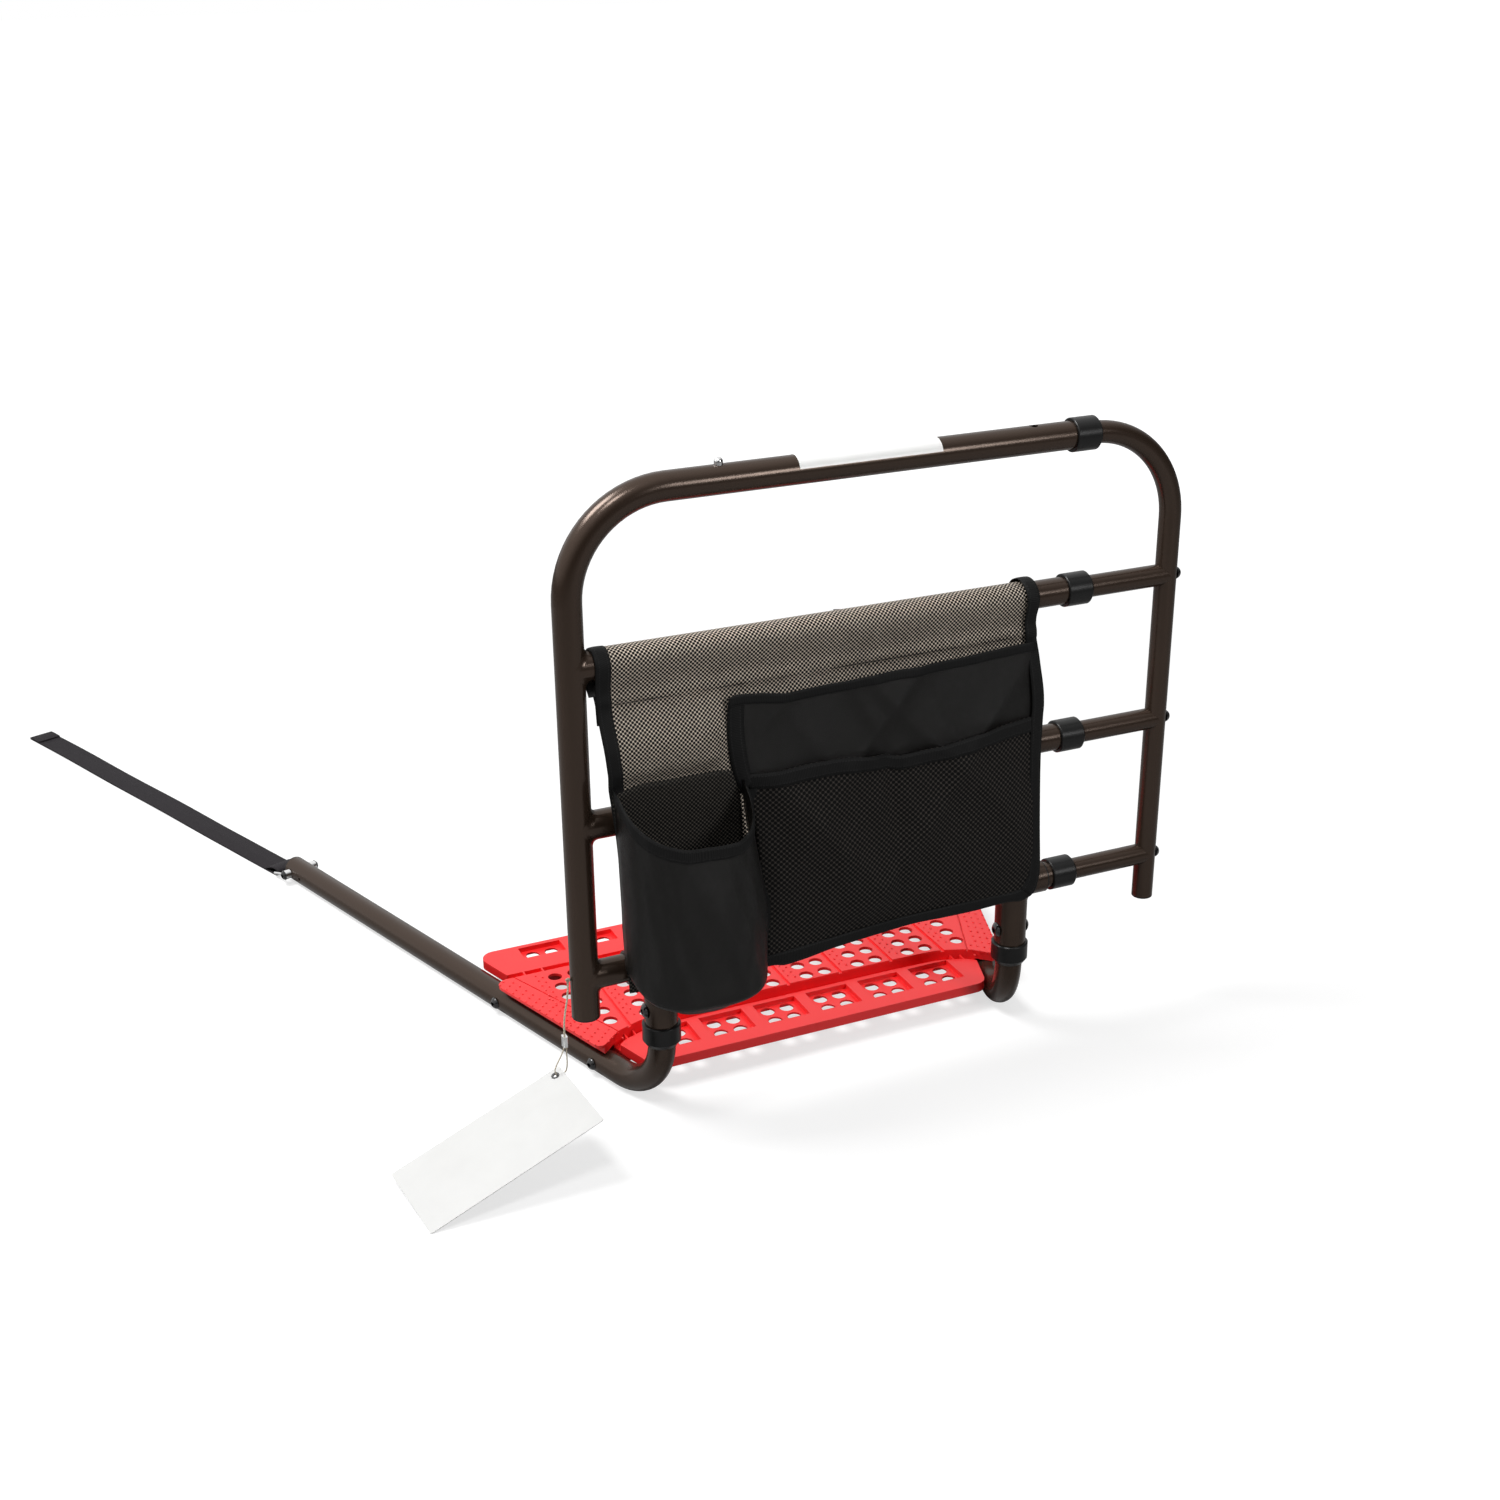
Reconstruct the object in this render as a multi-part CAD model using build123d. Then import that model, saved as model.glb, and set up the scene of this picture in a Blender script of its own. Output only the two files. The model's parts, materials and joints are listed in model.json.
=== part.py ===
from build123d import *
from math import atan, cos, degrees, pi, radians, sin, sqrt, tan
import os

# A bed assist rail: two splayed legs and a board that lie under a mattress, two posts
# at their front, and a three-bar rail that folds down about its lowest bar. The rail's
# right half slides out of the left one. A fabric pouch hangs on the upper bar.
# Lengths are in mm. The model is drawn with x = 0 midway between the posts, y = 0 in
# the plane of the rail, y pointing under the bed, and z = 0 on the floor. It is moved
# along y at the end, so that the origin is the centre of the footprint.

# ---- Driving dimensions: frame ----
upright_to_post = 88.4  # left upright's axis to the left post's axis
post_to_upright = 189.1  # right post's axis to the right upright's axis, rail closed
frame_length = 731.0  # left upright's axis to the right one's, rail closed
bar_pitch = 179.2  # between neighbouring bars, and from the upper bar to the top tube
pivot_height = 194.4  # floor to the lowest bar, which is the fold axis
frame_tube_od = 31.75
frame_tube_wall = 1.2
slide_tube_od = 25.4
slide_tube_wall = 1.2
frame_bend_radius = 110.0  # to the tube's axis
left_upright_drop = 47.0  # how far the left upright reaches below the fold axis
right_upright_drop = 56.0
slide_tube_start = 140.0  # left upright's axis to the inner tubes' left ends, closed
plug_depth = 14.0
plug_wall = 2.5
plug_lip = 2.0

# ---- Driving dimensions: sliding fits ----
running_gap = 0.05  # radial, between pieces that turn or slide on each other
press_gap = 0.02  # radial, between pieces pressed or bolted together
seat_gap = 0.1  # between flat faces that are bolted together
collar_length = 32.0
collar_overlap = 25.0  # how far a collar grips the outer tube's end
collar_to_bend = -1.0  # collars' right faces to the start of the right bend, rail closed
collar_wall = 3.2
collar_chamfer = 2.5
glide_length = 16.0
glide_head = 3.0  # length of the glide that runs in the outer tube
saddle_length = 16.3  # seam to the right upright's wall
saddle_spigot = 20.0
bar_bolt_d = 6.0
bar_bolt_head_d = 15.0
bar_bolt_head_height = 7.0
bar_bolt_clearance = 0.2
bar_bolt_grip = 16.0  # how far its thread reaches into the saddle's spigot

# ---- Driving dimensions: snap button ----
button_x = 169.0  # left upright's axis to the button, rail closed
last_hole_setback = 73.0  # outer top tube's open end to the hole of the longest setting
button_d = 9.5
button_clearance = 0.25
button_rise = 7.5  # above the top tube
button_flange_d = 13.0
button_flange_thickness = 1.2
clip_width = 8.0
clip_thickness = 0.8
clip_length = 46.0
clip_bend = 2.5
clip_shoulder = 6.0

# ---- Driving dimensions: posts, sleeves and legs ----
post_od = 38.1
post_wall = 1.6
post_drop = 98.0  # fold axis to the post's lower end
sleeve_half_length = 38.5
bushing_length = 15.0
bushing_flange = 1.5
leg_od = 31.75
leg_wall = 1.6
leg_reach = 820.0  # post axis to the leg's end, along the leg
leg_splay = 18.0  # degrees outwards
collar_to_elbow = -1.475  # post collar's lower face to the start of the leg's elbow
stub_drop = 35.0  # fold axis to the upper end of the leg's stub inside the post
stub_ring_length = 10.0
post_collar_top = 78.0  # below the fold axis
post_collar_bottom = 105.0
post_collar_od = 44.0
post_collar_taper = 6.0
post_bolt_drop = 60.0  # below the fold axis
post_bolt_d = 8.0
post_bolt_head_d = 18.0
post_bolt_head_height = 5.0
bolt_clearance = 0.2

# ---- Driving dimensions: platform board ----
board_bolt_stations = [113.6, 308.4]  # along the leg from the post axis
board_bolt_d = 8.0
board_bolt_head_d = 15.0
board_bolt_head_height = 5.0
board_bolt_grip = 24.0  # thread in the board's boss
boss_length = 28.0
boss_width = 24.0
boss_depth = 10.0  # below the leg's axis
board_front = 45.0  # from the rail's plane
board_rear = 383.0
board_bottom = 8.0  # above the leg's axis, like the next four
trench_top = 11.0
wing_top = 20.0
lip_bottom = 24.0
plateau_top = 28.0
board_to_leg = 16.2  # wing's end to the leg's axis
lip_overhang = 16.0  # plateau's end beyond the leg's axis
pad_overhang = 6.0
board_wall = 3.0
rib_wall = 2.5
plateau_front = 132.5
plateau_rear = 294.0
plateau_sweep = [(97.0, 0.0), (25.0, 2.5), (-13.0, 17.5)]  # inboard of the post, behind the front
plateau_end_sweep = 46.5
plateau_end_inset = 2.0
plateau_radii = [150.0, 90.0, 40.0, 8.0, 14.0]
wing_corner = 18.0
trench_width = 10.5
rear_trench = 21.0
module_pitch = 71.4
hole_spacing = 25.3  # between the two hole columns of a module
hole_row_pitch = 25.8
first_hole_row = 143.3
hole_rows = 6
hole_d = 17.5
groove_width = 4.5
groove_depth = 2.5
groove_lead = 42.0  # groove's axis to the middle of its module's holes
slant_groove_width = 1.8
slant_start = 12.0  # outboard of the post's axis, at the line below
slant_datum = 13.5  # before the plateau's front
slant_slope = 0.41
pocket_width = 56.0
pocket_floor_top = 14.0
pocket_floor = 2.5
front_pocket = (69.0, 115.0)  # front and rear edges
front_pocket_rows = (80.5, 103.5)
rear_pocket = (348.0, 376.0)
rear_pocket_rows = (362.0,)
trench_rib_wall = 2.0
trench_rib_places = [-10.0, 2.0, 40.0, 64.0]  # outboard of the post's axis

# ---- Driving dimensions: straps ----
strap_width = 38.0
strap_thickness = 2.0
strap_length = 748.0
strap_turn = 3.0  # degrees, how much further outwards than its leg each strap lies
strap_loop_gap = 1.2  # webbing to the ring's wire
strap_loop_bend = 0.95  # the loop's bends as a share of its half height
strap_return = 26.0  # how far the loop's sewn end lies beyond the ring's bar
strap_lift = 10.0  # from there back to where it rises to the bar
strap_bend = 6.0
strap_ply_gap = 0.1
strap_tab_length = 30.0
strap_tab_thickness = 2.5
ring_wire_d = 4.0
ring_reach = 34.0  # strap bolt to the ring's far bar
ring_corner = 2.6  # bend radius at the far bar's ends, to the wire's axis
ring_arm_gap = 40.0  # between the two arms
ring_eye_d = 13.0
ring_eye_margin = 0.4  # the eye's face beyond the wire's side
ring_bolt_setback = 12.0  # leg's end to the strap bolt
ring_bolt_d = 6.0
ring_bolt_head_d = 14.0
ring_bolt_head_height = 4.5
ring_bar_height = 7.0  # floor to the far bar's axis
end_screw_setback = 45.0
end_screw_head_d = 12.0
end_screw_head_height = 4.0
end_screw_d = 5.0
end_hole_setback = 38.0
end_hole_d = 4.5

# ---- Driving dimensions: pouch ----
pouch_left = 28.0  # from the left upright's axis
pouch_to_collar = 32.0  # pouch's right edge to the collar on its bar
pouch_hang_gap = 0.3  # radial, between the fabric and its bar
panel_width = 530.0  # for which the outlines below are given
stretch_zone = (215.0, 500.0)  # what of it takes up a change of its width
panel_thickness = 2.0
panel_back = 19.6  # in front of the rail's plane
panel_slope = 40.0  # height over which the panel leans out to that
sleeve_leaving = 52.0  # degrees below level, where the sleeve leaves the bar behind
tail_length = 30.0
tail_step = 6.0  # how far the sleeve's end turns in towards the panel
tail_drop = 8.0
tail_bends = [5.0, 10.0]
panel_bend = 60.0
panel_taper = [  # in from the panel's sides, above the fold axis
    (0.0, 338.4),
    (22.0, 0.0),
    (40.0, -16.0),
    (120.0, -24.0),
    (211.0, -27.0),
    (430.0, -14.0),
    (508.0, -8.0),
    (527.0, 18.0),
]
pocket_depth = 12.0
pocket_wall = 1.6
pocket_edge = [  # from the panel's left side, above the fold axis
    (139.0, 293.0),
    (148.0, 307.0),
    (521.0, 307.0),
    (520.0, 24.0),
    (505.0, 1.0),
    (212.0, -18.0),
    (191.0, -15.0),
    (167.0, 200.0),
    (166.0, 223.0),
    (144.0, 227.0),
    (138.0, 255.0),
]
mesh_pocket_edge = [
    (165.0, 213.0),
    (258.0, 217.0),
    (333.0, 208.0),
    (402.0, 210.0),
    (520.0, 220.0),
    (520.0, 26.0),
    (504.0, 3.0),
    (214.0, -16.0),
    (193.0, -13.0),
    (169.0, 196.0),
]
mesh_seam = 332.0  # its middle, from the panel's left side
mesh_seam_width = 3.0
mesh_seam_top = 202.0
mesh_seam_low = -5.0
mesh_pocket_depth = 8.0
mesh_pocket_wall = 1.2
cup_left = 36.0
cup_right = 190.0
cup_depth = 69.0
cup_wall = 2.0
cup_bottom = -44.0
cup_rim_front = 190.0
cup_rim_back = 218.0
cup_narrowing = 12.0
binding_width = 7.0
binding_thickness = 1.4
tab_outreach = 11.0  # hook and loop tab, beyond the panel's left side
tab_drop = 32.0  # the bar's axis to the tab's lower end

# ---- Driving dimensions: label and tag ----
label_left = 254.0
label_right = 422.0
label_from = 15.0  # degrees above the front
label_to = 120.0
label_thickness = 0.3
tag_length = 215.0
tag_width = 110.0
tag_thickness = 0.8
tag_slope = 20.0  # degrees, how steeply its length falls to the floor
tag_heading = 5.0  # degrees, how far its length turns to the front
tag_roll = 5.0  # degrees, how far its front edge hangs down
tag_corner = 3.0
eyelet_margin = 10.0
eyelet_out = 39.0  # left of the left upright's axis
eyelet_bore = 5.0
eyelet_barrel_d = 6.5
eyelet_flange_d = 9.5
eyelet_flange = 0.4
tag_cord_d = 2.2
tag_loop_d = 1.5
loop_gap = 0.3  # from the eyelet's rim, which the loop pulls on
ferrule_width = 8.5
ferrule_height = 13.0
ferrule_depth = 5.5
ferrule_drop = 68.0  # fold axis to the ferrule's upper face
bead_d = 6.0
bead_stem_d = 2.2
bead_hole_clearance = 0.3

# ---- Worked out from the driving dimensions ----
post_spacing = frame_length - upright_to_post - post_to_upright
post_x = post_spacing / 2
elbow_radius = pivot_height - post_collar_bottom - collar_to_elbow - leg_od / 2
collar_start = frame_length - frame_bend_radius - collar_to_bend - collar_length
frame_tube_reach = collar_start + collar_overlap  # left upright's axis to the open ends
slide_travel = frame_tube_reach - last_hole_setback - button_x
pouch_right = collar_start - pouch_to_collar
left_x = -(post_x + upright_to_post)
right_x = left_x + frame_length
leg_axis = leg_od / 2
bar_heights = [pivot_height + k * bar_pitch for k in (2, 1, 0)]
top_height = pivot_height + 3 * bar_pitch
frame_bore = frame_tube_od - 2 * frame_tube_wall
slide_bore = slide_tube_od - 2 * slide_tube_wall
post_bore = post_od - 2 * post_wall
leg_bore = leg_od - 2 * leg_wall
splay_sin = sin(radians(leg_splay))
splay_cos = cos(radians(leg_splay))
splay_tan = tan(radians(leg_splay))
sleeve_radius = frame_tube_od / 2 + pouch_hang_gap + panel_thickness / 2


def rod(x0, x1, d, y=0.0, z=0.0):
    """A round bar along x."""
    return Pos((x0 + x1) / 2, y, z) * Rot(0, 90, 0) * Cylinder(d / 2, x1 - x0)


def stud(z0, z1, d, x=0.0, y=0.0):
    """A round bar along z."""
    return Pos(x, y, (z0 + z1) / 2) * Cylinder(d / 2, z1 - z0)


def bent_tube(points, bend, od, bore):
    """A tube along straight runs joined by bends."""
    path = FilletPolyline(*points, radius=bend)
    start = Plane(origin=path @ 0, z_dir=path % 0)
    return sweep(start * (Circle(od / 2) - Circle(bore / 2)), path=path)


def domed_head(d, height):
    """A button head, standing on z = 0."""
    ball = (d * d / 4 + height * height) / (2 * height)
    return Pos(0, 0, height - ball) * Sphere(ball) & stud(0, height, d)


def bolt(d, length, head_d, head_height):
    """A bolt with its head's seat on z = 0 and its shank below."""
    return domed_head(head_d, head_height) + stud(-length, 0, d)


def plug(od, bore):
    """An end plug: a lip under z = 0 and a hollow stem above it."""
    stem_d = bore - 2 * press_gap
    body = stud(-plug_lip, 0, od) + stud(0, plug_depth, stem_d)
    body = fillet(body.edges().sort_by(Axis.Z)[0], plug_lip / 2)
    return body - stud(plug_wall, plug_depth, stem_d - 2 * plug_wall)


def on_rail(x):
    """Model x of a place measured from the left upright's axis."""
    return left_x + x


# ---- Rail: the left half, which folds about its lowest bar ----
def frame_tube():
    """The left upright, its bend and the top tube, one bent tube."""
    points = [
        (left_x, 0, pivot_height - left_upright_drop),
        (left_x, 0, top_height),
        (on_rail(frame_tube_reach), 0, top_height),
    ]
    body = bent_tube(points, frame_bend_radius, frame_tube_od, frame_bore)
    hole_d_top = button_d + 2 * button_clearance
    for x in (button_x, button_x + slide_travel):
        body -= stud(top_height, top_height + frame_tube_od, hole_d_top, x=on_rail(x))
    lanyard_hole = bead_stem_d + 2 * bead_hole_clearance
    return body - rod(left_x - frame_tube_od, left_x, lanyard_hole, z=pivot_height)


def outer_bar(z):
    """One outer bar, its left end shaped to the upright it is welded to."""
    body = rod(left_x, on_rail(frame_tube_reach), frame_tube_od, z=z)
    body -= rod(left_x, on_rail(frame_tube_reach), frame_bore, z=z)
    return body - stud(z - frame_tube_od, z + frame_tube_od, frame_tube_od, x=left_x)


def end_collar(z):
    """The plastic collar on an outer tube's open end, which guides the inner tube."""
    x0 = on_rail(collar_start)
    x1 = x0 + collar_length
    outer_d = frame_tube_od + 2 * collar_wall
    body = rod(x0, x1, outer_d, z=z)
    body = chamfer(body.edges().sort_by(Axis.X)[-1], collar_chamfer)
    body = chamfer(body.edges().sort_by(Axis.X)[0], collar_chamfer / 3)
    body -= rod(x0, on_rail(frame_tube_reach), frame_tube_od + 2 * press_gap, z=z)
    return body - rod(x0, x1, slide_tube_od + 2 * running_gap, z=z)


def rail_label():
    """The bare white label that wraps the front and top of the top tube."""
    inner = frame_tube_od / 2 + seat_gap
    band = Circle(inner + label_thickness) - Circle(inner)
    middle = (label_from + label_to) / 2
    half = radians(label_to - label_from) / 2
    reach = 2 * frame_tube_od
    wedge = make_face(
        Polyline(
            (0, 0),
            (reach * cos(half), reach * sin(half)),
            (2 * reach, 0),
            (reach * cos(half), -reach * sin(half)),
            close=True,
        )
    )
    cross = Plane(
        origin=(on_rail(label_left), 0, top_height), x_dir=(0, -1, 0), z_dir=(1, 0, 0)
    )
    turn = Rot(0, 0, -middle)
    return extrude(cross * turn * (band & wedge), label_right - label_left)


# ---- Extension: the right half, which slides in the left one ----
def end_frame_tube():
    """The right upright, its bend and the inner top tube, one bent tube."""
    points = [
        (right_x, 0, pivot_height - right_upright_drop),
        (right_x, 0, top_height),
        (on_rail(slide_tube_start), 0, top_height),
    ]
    body = bent_tube(points, frame_bend_radius, slide_tube_od, slide_bore)
    hole = button_d + 2 * button_clearance
    body -= stud(top_height, top_height + slide_tube_od, hole, x=on_rail(button_x))
    bolt_hole = bar_bolt_d + 2 * bar_bolt_clearance
    for z in bar_heights:
        body -= rod(right_x - slide_tube_od, right_x + slide_tube_od, bolt_hole, z=z)
    return body


def seam_x():
    """Where each inner bar ends and its saddle begins."""
    return right_x - slide_tube_od / 2 - saddle_length


def inner_bar(z):
    """One inner bar."""
    body = rod(on_rail(slide_tube_start), seam_x(), slide_tube_od, z=z)
    return body - rod(on_rail(slide_tube_start), seam_x(), slide_bore, z=z)


def bar_saddle(z):
    """The plug between an inner bar and the upright, shaped to the upright."""
    body = rod(seam_x(), right_x, slide_tube_od, z=z)
    body += rod(seam_x() - saddle_spigot, seam_x(), slide_bore - 2 * press_gap, z=z)
    around = slide_tube_od + 2 * press_gap
    body -= stud(z - slide_tube_od, z + slide_tube_od, around, x=right_x)
    bore = bar_bolt_d + 2 * press_gap
    return body - rod(seam_x() - saddle_spigot, right_x, bore, z=z)


def bar_bolt(z):
    """The bolt that draws the upright onto a bar's saddle."""
    length = right_x + slide_tube_od / 2 - seam_x() + bar_bolt_grip
    shape = bolt(bar_bolt_d, length, bar_bolt_head_d, bar_bolt_head_height)
    return Pos(right_x + slide_tube_od / 2, 0, z) * Rot(0, 90, 0) * shape


def tube_glide(z):
    """The glide in an inner tube's left end, which runs in the outer tube."""
    x = on_rail(slide_tube_start)
    body = rod(x - glide_head, x, frame_bore - 2 * running_gap, z=z)
    body += rod(x, x + glide_length, slide_bore - 2 * press_gap, z=z)
    return body - rod(x - glide_head, x + glide_length, slide_bore / 2, z=z)


def flange_top():
    """Height of the button's flange above the tube's axis, under the tube's wall."""
    half = button_flange_d / 2
    return sqrt((slide_bore / 2) ** 2 - half * half) - seat_gap


def spring_clip():
    """The V of spring strip inside the top tube that pushes the button out."""
    arm = flange_top() - button_flange_thickness - clip_thickness / 2
    foot = sqrt((slide_bore / 2) ** 2 - (clip_width / 2) ** 2) - clip_thickness / 2
    foot -= seat_gap
    start = -button_flange_d / 2
    line = FilletPolyline(
        (start, arm),
        (-start, arm),
        (clip_length, (arm - foot) / 2),
        (-start, -foot),
        (start, -foot),
        radius=[clip_shoulder, clip_bend, clip_shoulder],
    )
    strip = trace(line, clip_thickness)
    side = Plane(
        origin=(on_rail(button_x), clip_width / 2, top_height),
        x_dir=(1, 0, 0),
        z_dir=(0, -1, 0),
    )
    return extrude(side * strip, clip_width)


def snap_button():
    """The chrome button: a flange inside the tube, a pin and a domed end."""
    radius = button_d / 2
    top = frame_tube_od / 2 + button_rise
    low = flange_top() - button_flange_thickness
    body = stud(low, flange_top(), button_flange_d)
    body += stud(low, top - radius, button_d) + Pos(0, 0, top - radius) * Sphere(radius)
    return Pos(on_rail(button_x), 0, top_height) * body


# ---- Base: posts, sleeves, legs and platform board ----
def post(side):
    """One post, its upper end shaped to the sleeve it is welded to."""
    x = side * post_x
    bottom = pivot_height - post_drop
    body = stud(bottom, pivot_height, post_od, x=x)
    body -= stud(bottom, pivot_height, post_bore, x=x)
    body -= rod(x - post_od, x + post_od, post_od, z=pivot_height)
    z = pivot_height - post_bolt_drop
    return body - rod(x - post_od, x + post_od, post_bolt_d + 2 * bolt_clearance, z=z)


def pivot_sleeve(side):
    """The sleeve on a post's top that the lowest bar turns in."""
    x0 = side * post_x - sleeve_half_length
    x1 = side * post_x + sleeve_half_length
    return rod(x0, x1, post_od, z=pivot_height) - rod(x0, x1, post_bore, z=pivot_height)


def pivot_bushings():
    """The flanged bushings in the sleeves' ends."""
    shapes = []
    for post_side in (-1, 1):
        for end in (-1, 1):
            face = post_side * post_x + end * sleeve_half_length
            inner = face - end * bushing_length
            outer = face + end * bushing_flange
            body = rod(min(face, inner), max(face, inner), post_bore - 2 * press_gap)
            body += rod(min(face, outer), max(face, outer), post_od)
            reach = 2 * bushing_length
            body -= rod(face - reach, face + reach, frame_tube_od + 2 * running_gap)
            shapes.append(Pos(0, 0, pivot_height) * body)
    return shapes


def post_collar(side):
    """The plastic collar round a post's lower end and the leg that leaves it."""
    x = side * post_x
    top = pivot_height - post_collar_top
    bottom = pivot_height - post_collar_bottom
    body = stud(bottom, top, post_collar_od, x=x)
    low_edge = body.edges().sort_by(Axis.Z)[0]
    body = chamfer(low_edge, post_collar_taper, (post_collar_od - leg_od) / 2 - 2)
    body = chamfer(body.edges().sort_by(Axis.Z)[-1], 1.2)
    body -= stud(bottom, top, leg_od + 2 * press_gap, x=x)
    shoulder = pivot_height - post_drop
    return body - stud(shoulder, top, post_od + 2 * press_gap, x=x)


def post_rings():
    """The rings that centre the legs' stubs in the posts."""
    shapes = []
    low = pivot_height - post_drop
    high = pivot_height - stub_drop - stub_ring_length
    for post_side in (-1, 1):
        for z in (low, high):
            ring = stud(z, z + stub_ring_length, post_bore - 2 * press_gap)
            ring -= stud(z, z + stub_ring_length, leg_od + 2 * press_gap)
            shapes.append(Pos(post_side * post_x, 0, 0) * ring)
    return shapes


def post_bolts():
    """The cross bolts through posts and stubs, domed at both ends."""
    shapes = []
    half = post_od / 2
    head = domed_head(post_bolt_head_d, post_bolt_head_height)
    for post_side in (-1, 1):
        body = rod(-half, half, post_bolt_d)
        body += Pos(half, 0, 0) * Rot(0, 90, 0) * head
        body += Pos(-half, 0, 0) * Rot(0, -90, 0) * head
        shapes.append(Pos(post_side * post_x, 0, pivot_height - post_bolt_drop) * body)
    return shapes


def leg_place(side, along, across=0.0, z=leg_axis):
    """A frame on a leg: x along the leg, y towards its outer side, z up."""
    out = Vector(side * splay_cos, -splay_sin, 0)
    ahead = Vector(side * splay_sin, splay_cos, 0)
    origin = Vector(side * post_x, 0, z) + ahead * along + out * across
    return Plane(origin=origin, x_dir=out, z_dir=ahead)


def across_leg(side, along, d, inner, outer, z=leg_axis):
    """A round bar square to a leg, from one distance beside its axis to another."""
    out = Vector(side * splay_cos, -splay_sin, 0)
    start = leg_place(side, along, inner, z).origin
    return extrude(Plane(origin=start, z_dir=out) * Circle(d / 2), outer - inner)


def leg(side):
    """One leg: a stub inside its post, the elbow, and the run under the mattress."""
    ahead = Vector(side * splay_sin, splay_cos, 0)
    corner = Vector(side * post_x, 0, leg_axis)
    points = [
        corner + Vector(0, 0, pivot_height - stub_drop - leg_axis),
        corner,
        corner + ahead * leg_reach,
    ]
    body = bent_tube(points, elbow_radius, leg_od, leg_bore)
    x = side * post_x
    z = pivot_height - post_bolt_drop
    body -= rod(x - leg_od, x + leg_od, post_bolt_d + 2 * bolt_clearance, z=z)
    for along in board_bolt_stations:
        body -= across_leg(side, along, board_bolt_d + 2 * bolt_clearance, -leg_od, leg_od)
    ring_at = leg_reach - ring_bolt_setback
    body -= across_leg(side, ring_at, ring_bolt_d + 2 * bolt_clearance, -leg_od, leg_od)
    body -= across_leg(side, leg_reach - end_hole_setback, end_hole_d, 0, leg_od)
    screw_at = leg_reach - end_screw_setback
    return body - across_leg(side, screw_at, end_screw_d + 2 * bolt_clearance, -leg_od, 0)


def leg_plug(side):
    """The plug in a leg's end, with the strap bolt's hole across its stem."""
    place = leg_place(side, leg_reach)
    shape = place * Rot(180, 0, 0) * plug(leg_od, leg_bore)
    ring_at = leg_reach - ring_bolt_setback
    return shape - across_leg(side, ring_at, ring_bolt_d + 2 * bolt_clearance, -leg_od, leg_od)


def side_bolt(side, along, d, inner, head_d, head_height):
    """A bolt across a leg with its head on the leg's outer side."""
    out = Vector(side * splay_cos, -splay_sin, 0)
    seat = leg_place(side, along, leg_od / 2).origin
    shape = bolt(d, leg_od / 2 - inner, head_d, head_height)
    return Plane(origin=seat, z_dir=out) * shape


def board_bolts():
    """The four bolts that hold the board between the legs."""
    inner = -(leg_od / 2 + seat_gap + board_bolt_grip)
    return [
        side_bolt(side, along, board_bolt_d, inner, board_bolt_head_d, board_bolt_head_height)
        for side in (-1, 1)
        for along in board_bolt_stations
    ]


def end_screws():
    """The screws on the inner sides of the legs, near their ends."""
    shapes = []
    for side in (-1, 1):
        inward = Vector(-side * splay_cos, splay_sin, 0)
        seat = leg_place(side, leg_reach - end_screw_setback, -leg_od / 2).origin
        shape = bolt(end_screw_d, leg_wall + 4, end_screw_head_d, end_screw_head_height)
        shapes.append(Plane(origin=seat, z_dir=inward) * shape)
    return shapes


def beside_leg(y, inboard):
    """x of the line that runs along the right leg, that far inboard of its axis."""
    return post_x + y * splay_tan - inboard / splay_cos


def between_legs(front, rear, inboard):
    """The plan between two lines along the legs."""
    corners = [
        (-beside_leg(front, inboard), front),
        (beside_leg(front, inboard), front),
        (beside_leg(rear, inboard), rear),
        (-beside_leg(rear, inboard), rear),
    ]
    return make_face(Polyline(*corners, close=True))


def plateau_plan():
    """The raised middle: straight in front, falling back to the legs at both ends."""
    front_corner = plateau_front - plateau_end_sweep
    end_front = (beside_leg(front_corner, -lip_overhang) - plateau_end_inset, front_corner)
    rear_y = plateau_rear - plateau_end_inset
    half = [(post_x - inboard, plateau_front - fall) for inboard, fall in plateau_sweep]
    half += [end_front, (beside_leg(rear_y, -lip_overhang), rear_y)]
    points = half + [(-x, y) for x, y in reversed(half)]
    radii = plateau_radii
    return make_face(FilletPolyline(*points, radius=radii + radii[::-1], close=True))


def module_centres(count):
    """Middles of the modules, either side of x = 0."""
    return [(k + 0.5) * module_pitch for k in range(-count // 2, count // 2)]


def pockets_that_fit(front):
    """Middles of the pockets of a row with this front edge that clear the legs."""
    room = beside_leg(front, board_to_leg) - pocket_width / 2 - rib_wall - board_wall
    return [x for x in module_centres(2 * int(room / module_pitch + 1)) if abs(x) < room]


def slant(y):
    """|x| of the slanted groove beside the outermost holes."""
    return post_x + slant_start + (y - plateau_front + slant_datum) * slant_slope


def plateau_modules():
    """How many modules reach across the plateau's rear edge."""
    return 2 * int(slant(plateau_rear) / module_pitch)


def plateau_holes():
    """Plan of the plateau's holes: two columns a module, inside the slanted grooves."""
    spots = []
    for centre in module_centres(plateau_modules()):
        for column in (-hole_spacing / 2, hole_spacing / 2):
            for row in range(hole_rows):
                x = centre + column
                y = first_hole_row + row * hole_row_pitch
                if abs(x) + hole_d / 2 < slant(y):
                    spots.append((x, y))
    return [Pos(x, y) * Circle(hole_d / 2) for x, y in spots]


def pocket_plan(centres, edges, grow=0.0):
    """Plan of a row of pockets in a wing."""
    front, rear = edges
    box = Rectangle(pocket_width + 2 * grow, rear - front + 2 * grow)
    return [Pos(x, (front + rear) / 2) * box for x in centres]


def pocket_holes(centres, rows):
    """Plan of the holes in a row of pockets."""
    columns = (-hole_spacing / 2, hole_spacing / 2)
    return [Pos(x + c, y) * Circle(hole_d / 2) for x in centres for c in columns for y in rows]


def layer(plan, low, high):
    """A plan extruded between two heights above the legs' axis."""
    return Pos(0, 0, leg_axis + low) * extrude(plan, high - low)


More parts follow.
